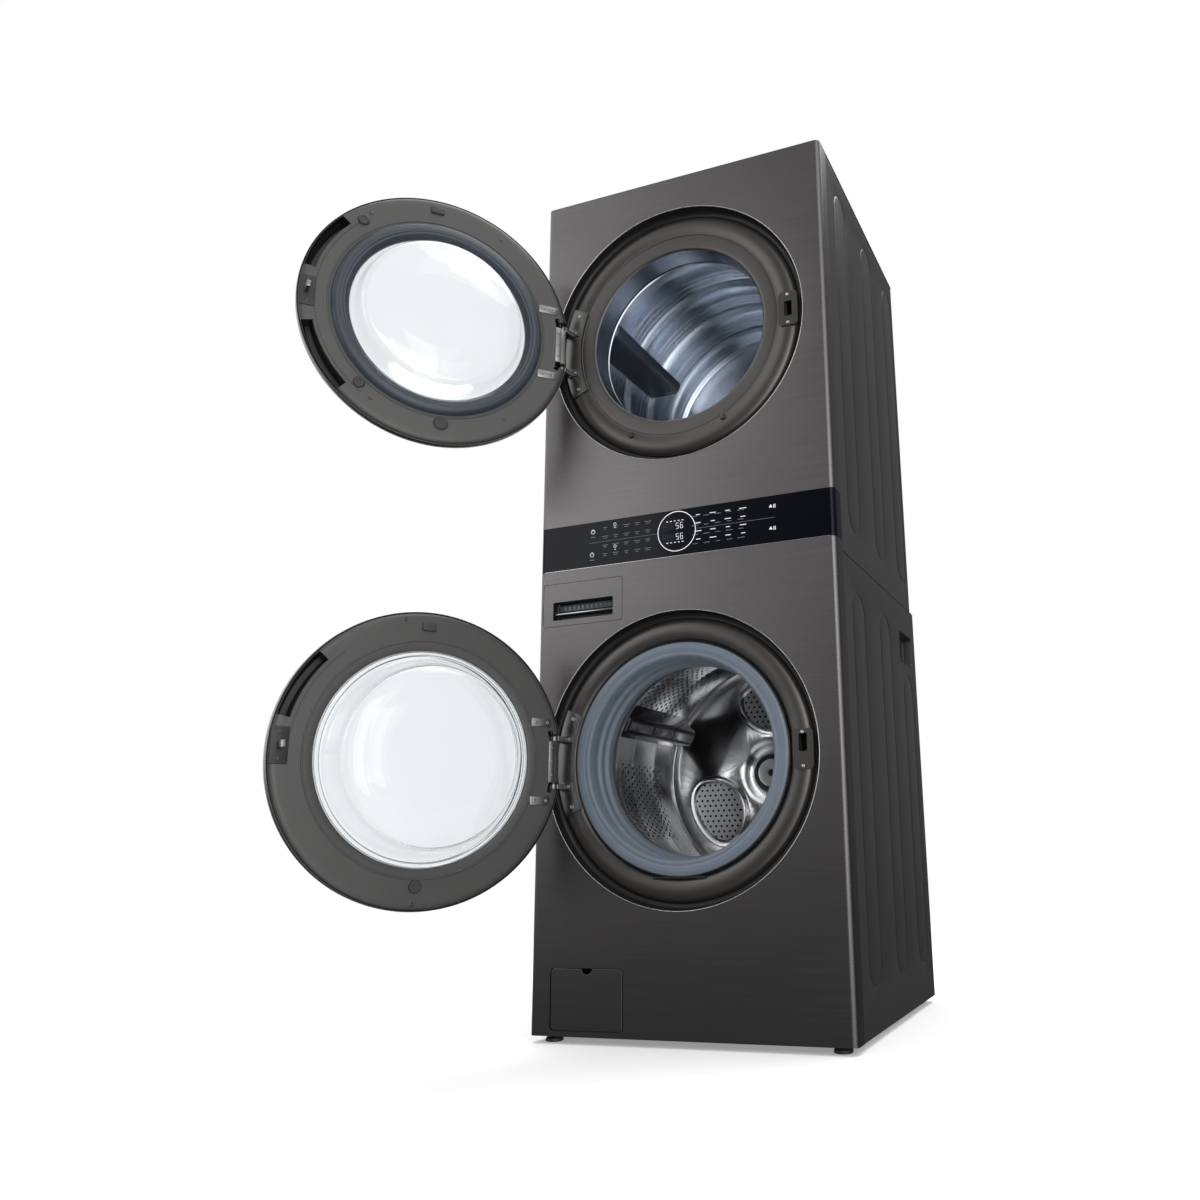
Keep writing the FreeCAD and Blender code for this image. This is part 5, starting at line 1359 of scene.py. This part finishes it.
    # The hinge leaf: a knuckle on the pin between the bracket's arms, and a plate screwed to the ring.
    leaf_half = ARM_Z - ARM_HALF - 1.5
    leaf = bmesh.new()
    block(leaf, (HINGE.x - 4, -377.8, centre_z - leaf_half), (HINGE.x + 21, -352, centre_z + leaf_half), 1.2, 2)
    block(leaf, (HINGE.x + 8, -353, centre_z - leaf_half), (HINGE.x + 21.3, -346.6, centre_z + leaf_half), 1.2, 2)
    rod(leaf, 8.4, 2 * leaf_half, (HINGE.x, HINGE.y, centre_z - leaf_half), (0, 0, 1), 32, 1.0)
    rod(leaf, 3.9, 2 * (ARM_Z + ARM_HALF + 0.8), (HINGE.x, HINGE.y, centre_z - ARM_Z - ARM_HALF - 0.8), (0, 0, 1),
        20, 0.8)
    for z in (-28, 0, 28):
        screw(leaf, (HINGE.x + 15, -346.6, centre_z + z), (0, 1, 0), 3.6, 0.0 + 0.9, 0.3)
    put("hinge_knuckle", leaf, nickel, "hinge_steel", door[:-len("_door")] + "_hinge_leaf")
    arms = bmesh.new()
    for side in (-1, 1):
        block(arms, (-270, -350.2, centre_z + side * 80 - 9), (-226, -345.4, centre_z + side * 80 + 9), 1.4, 2)
        for dx in (-262, -236):
            screw(arms, (dx, -345.4, centre_z + side * 80), (0, 1, 0), 3.8, 1.1, 0.6)
    put("hinge_ears", arms, nickel, "hinge_steel")
    hook = bmesh.new()
    block(hook, (LATCH_X - 6, -360, hook_z - 11), (LATCH_X + 6, -352.2, hook_z + 11), 1.0, 2)
    block(hook, (LATCH_X - 2.9, -356, hook_z - 6.9), (LATCH_X + 2.9, -318.2, hook_z + 6.9), 1.0, 2)
    block(hook, (LATCH_X - 5.9, -324, hook_z - 6.9), (LATCH_X + 2.9, -318.1, hook_z + 6.9), 1.4, 3)
    swing(hook, door)
    place_piece(door + "_latch_hook", hook, nickel, "washer_hook" if door == "washer_door" else door,
                "hinge_steel", door + "_hook")

# ---- rear fittings ----
# Two threaded brass inlets with coloured rings, the drain spigot, a black gland for the mains cord, and the
# exhaust collar that belongs to the ducts.
fitting_grey = satin("fitting_grey", (0.16, 0.16, 0.165), (0.24, 0.24, 0.245), 0.45)
brass = satin("inlet_brass", (0.42, 0.34, 0.16), (0.60, 0.50, 0.26), 0.28, metallic=1.0)
inlets = bmesh.new()
for x, z, radius in (HOT, COLD):
    line = [(radius - 3.3, washer_back_y - 10), (radius - 3.3, washer_back_y + 21), (radius - 2.6, washer_back_y + 21.8)]
    for k in range(9):
        line += [(radius - 0.9, washer_back_y + 21.6 - 2 * k), (radius, washer_back_y + 20.6 - 2 * k)]
    line += [(radius - 0.9, washer_back_y + 3), (radius - 0.4, washer_back_y - 10)]
    turned(inlets, line, (x, 0, z), steps=40)
place_piece("inlet_threads", inlets, brass, "cabinet", "fitting_grey", "rear_fittings", crease=0.4)
valves = bmesh.new()
for x, z, radius in (HOT, COLD, DRAIN):
    block(valves, (x - 24, washer_back_y - 40, z - 24), (x + 24, washer_back_y - 3.4, z + 24), 3, 3)
drain_line = [(8.6, washer_back_y - 8), (8.6, washer_back_y + 27), (9.4, washer_back_y + 28)]
for k in range(5):
    drain_line += [(12, washer_back_y + 24.5 - 5 * k), (10.6, washer_back_y + 20.5 - 5 * k)]
turned(valves, drain_line + [(12, washer_back_y - 1), (12, washer_back_y - 8)], (DRAIN[0], 0, DRAIN[1]), steps=40)
place_piece("valve_bodies", valves, fitting_grey, "cabinet", "fitting_grey", crease=0.5)
for name, (x, z, radius), dark, light in (("hot", HOT, (0.45, 0.03, 0.03), (0.6, 0.06, 0.05)),
                                          ("cold", COLD, (0.03, 0.10, 0.45), (0.05, 0.16, 0.6))):
    marker = bmesh.new()
    turned(marker, [(radius + 0.3, washer_back_y - 1.4), (radius + 1.8, washer_back_y - 1.4),
                    (radius + 1.8, washer_back_y + 1.6), (radius + 0.3, washer_back_y + 2.4)], (x, 0, z), steps=40)
    place_piece(name + "_inlet_ring", marker, satin(name + "_ring_plastic", dark, light, 0.45), "cabinet",
                "fitting_grey")
gland = bmesh.new()
gx, gz, gr = GLAND
line = [(9.2, dryer_back_y - 11), (9.2, dryer_back_y + 7), (10.5, dryer_back_y + 7.9), (14, dryer_back_y + 7.9),
        (15.2, dryer_back_y + 6.5), (15.8, dryer_back_y + 4.2), (20.6, dryer_back_y + 4.2),
        (20.8, dryer_back_y + 0.6), (15.8, dryer_back_y + 0.4), (15.8, dryer_back_y - 11)]
turned(gland, line, (gx, 0, gz), steps=48)
place_piece("cord_gland_bushing", gland, black_plastic, "cabinet", "fitting_grey", crease=0.5)
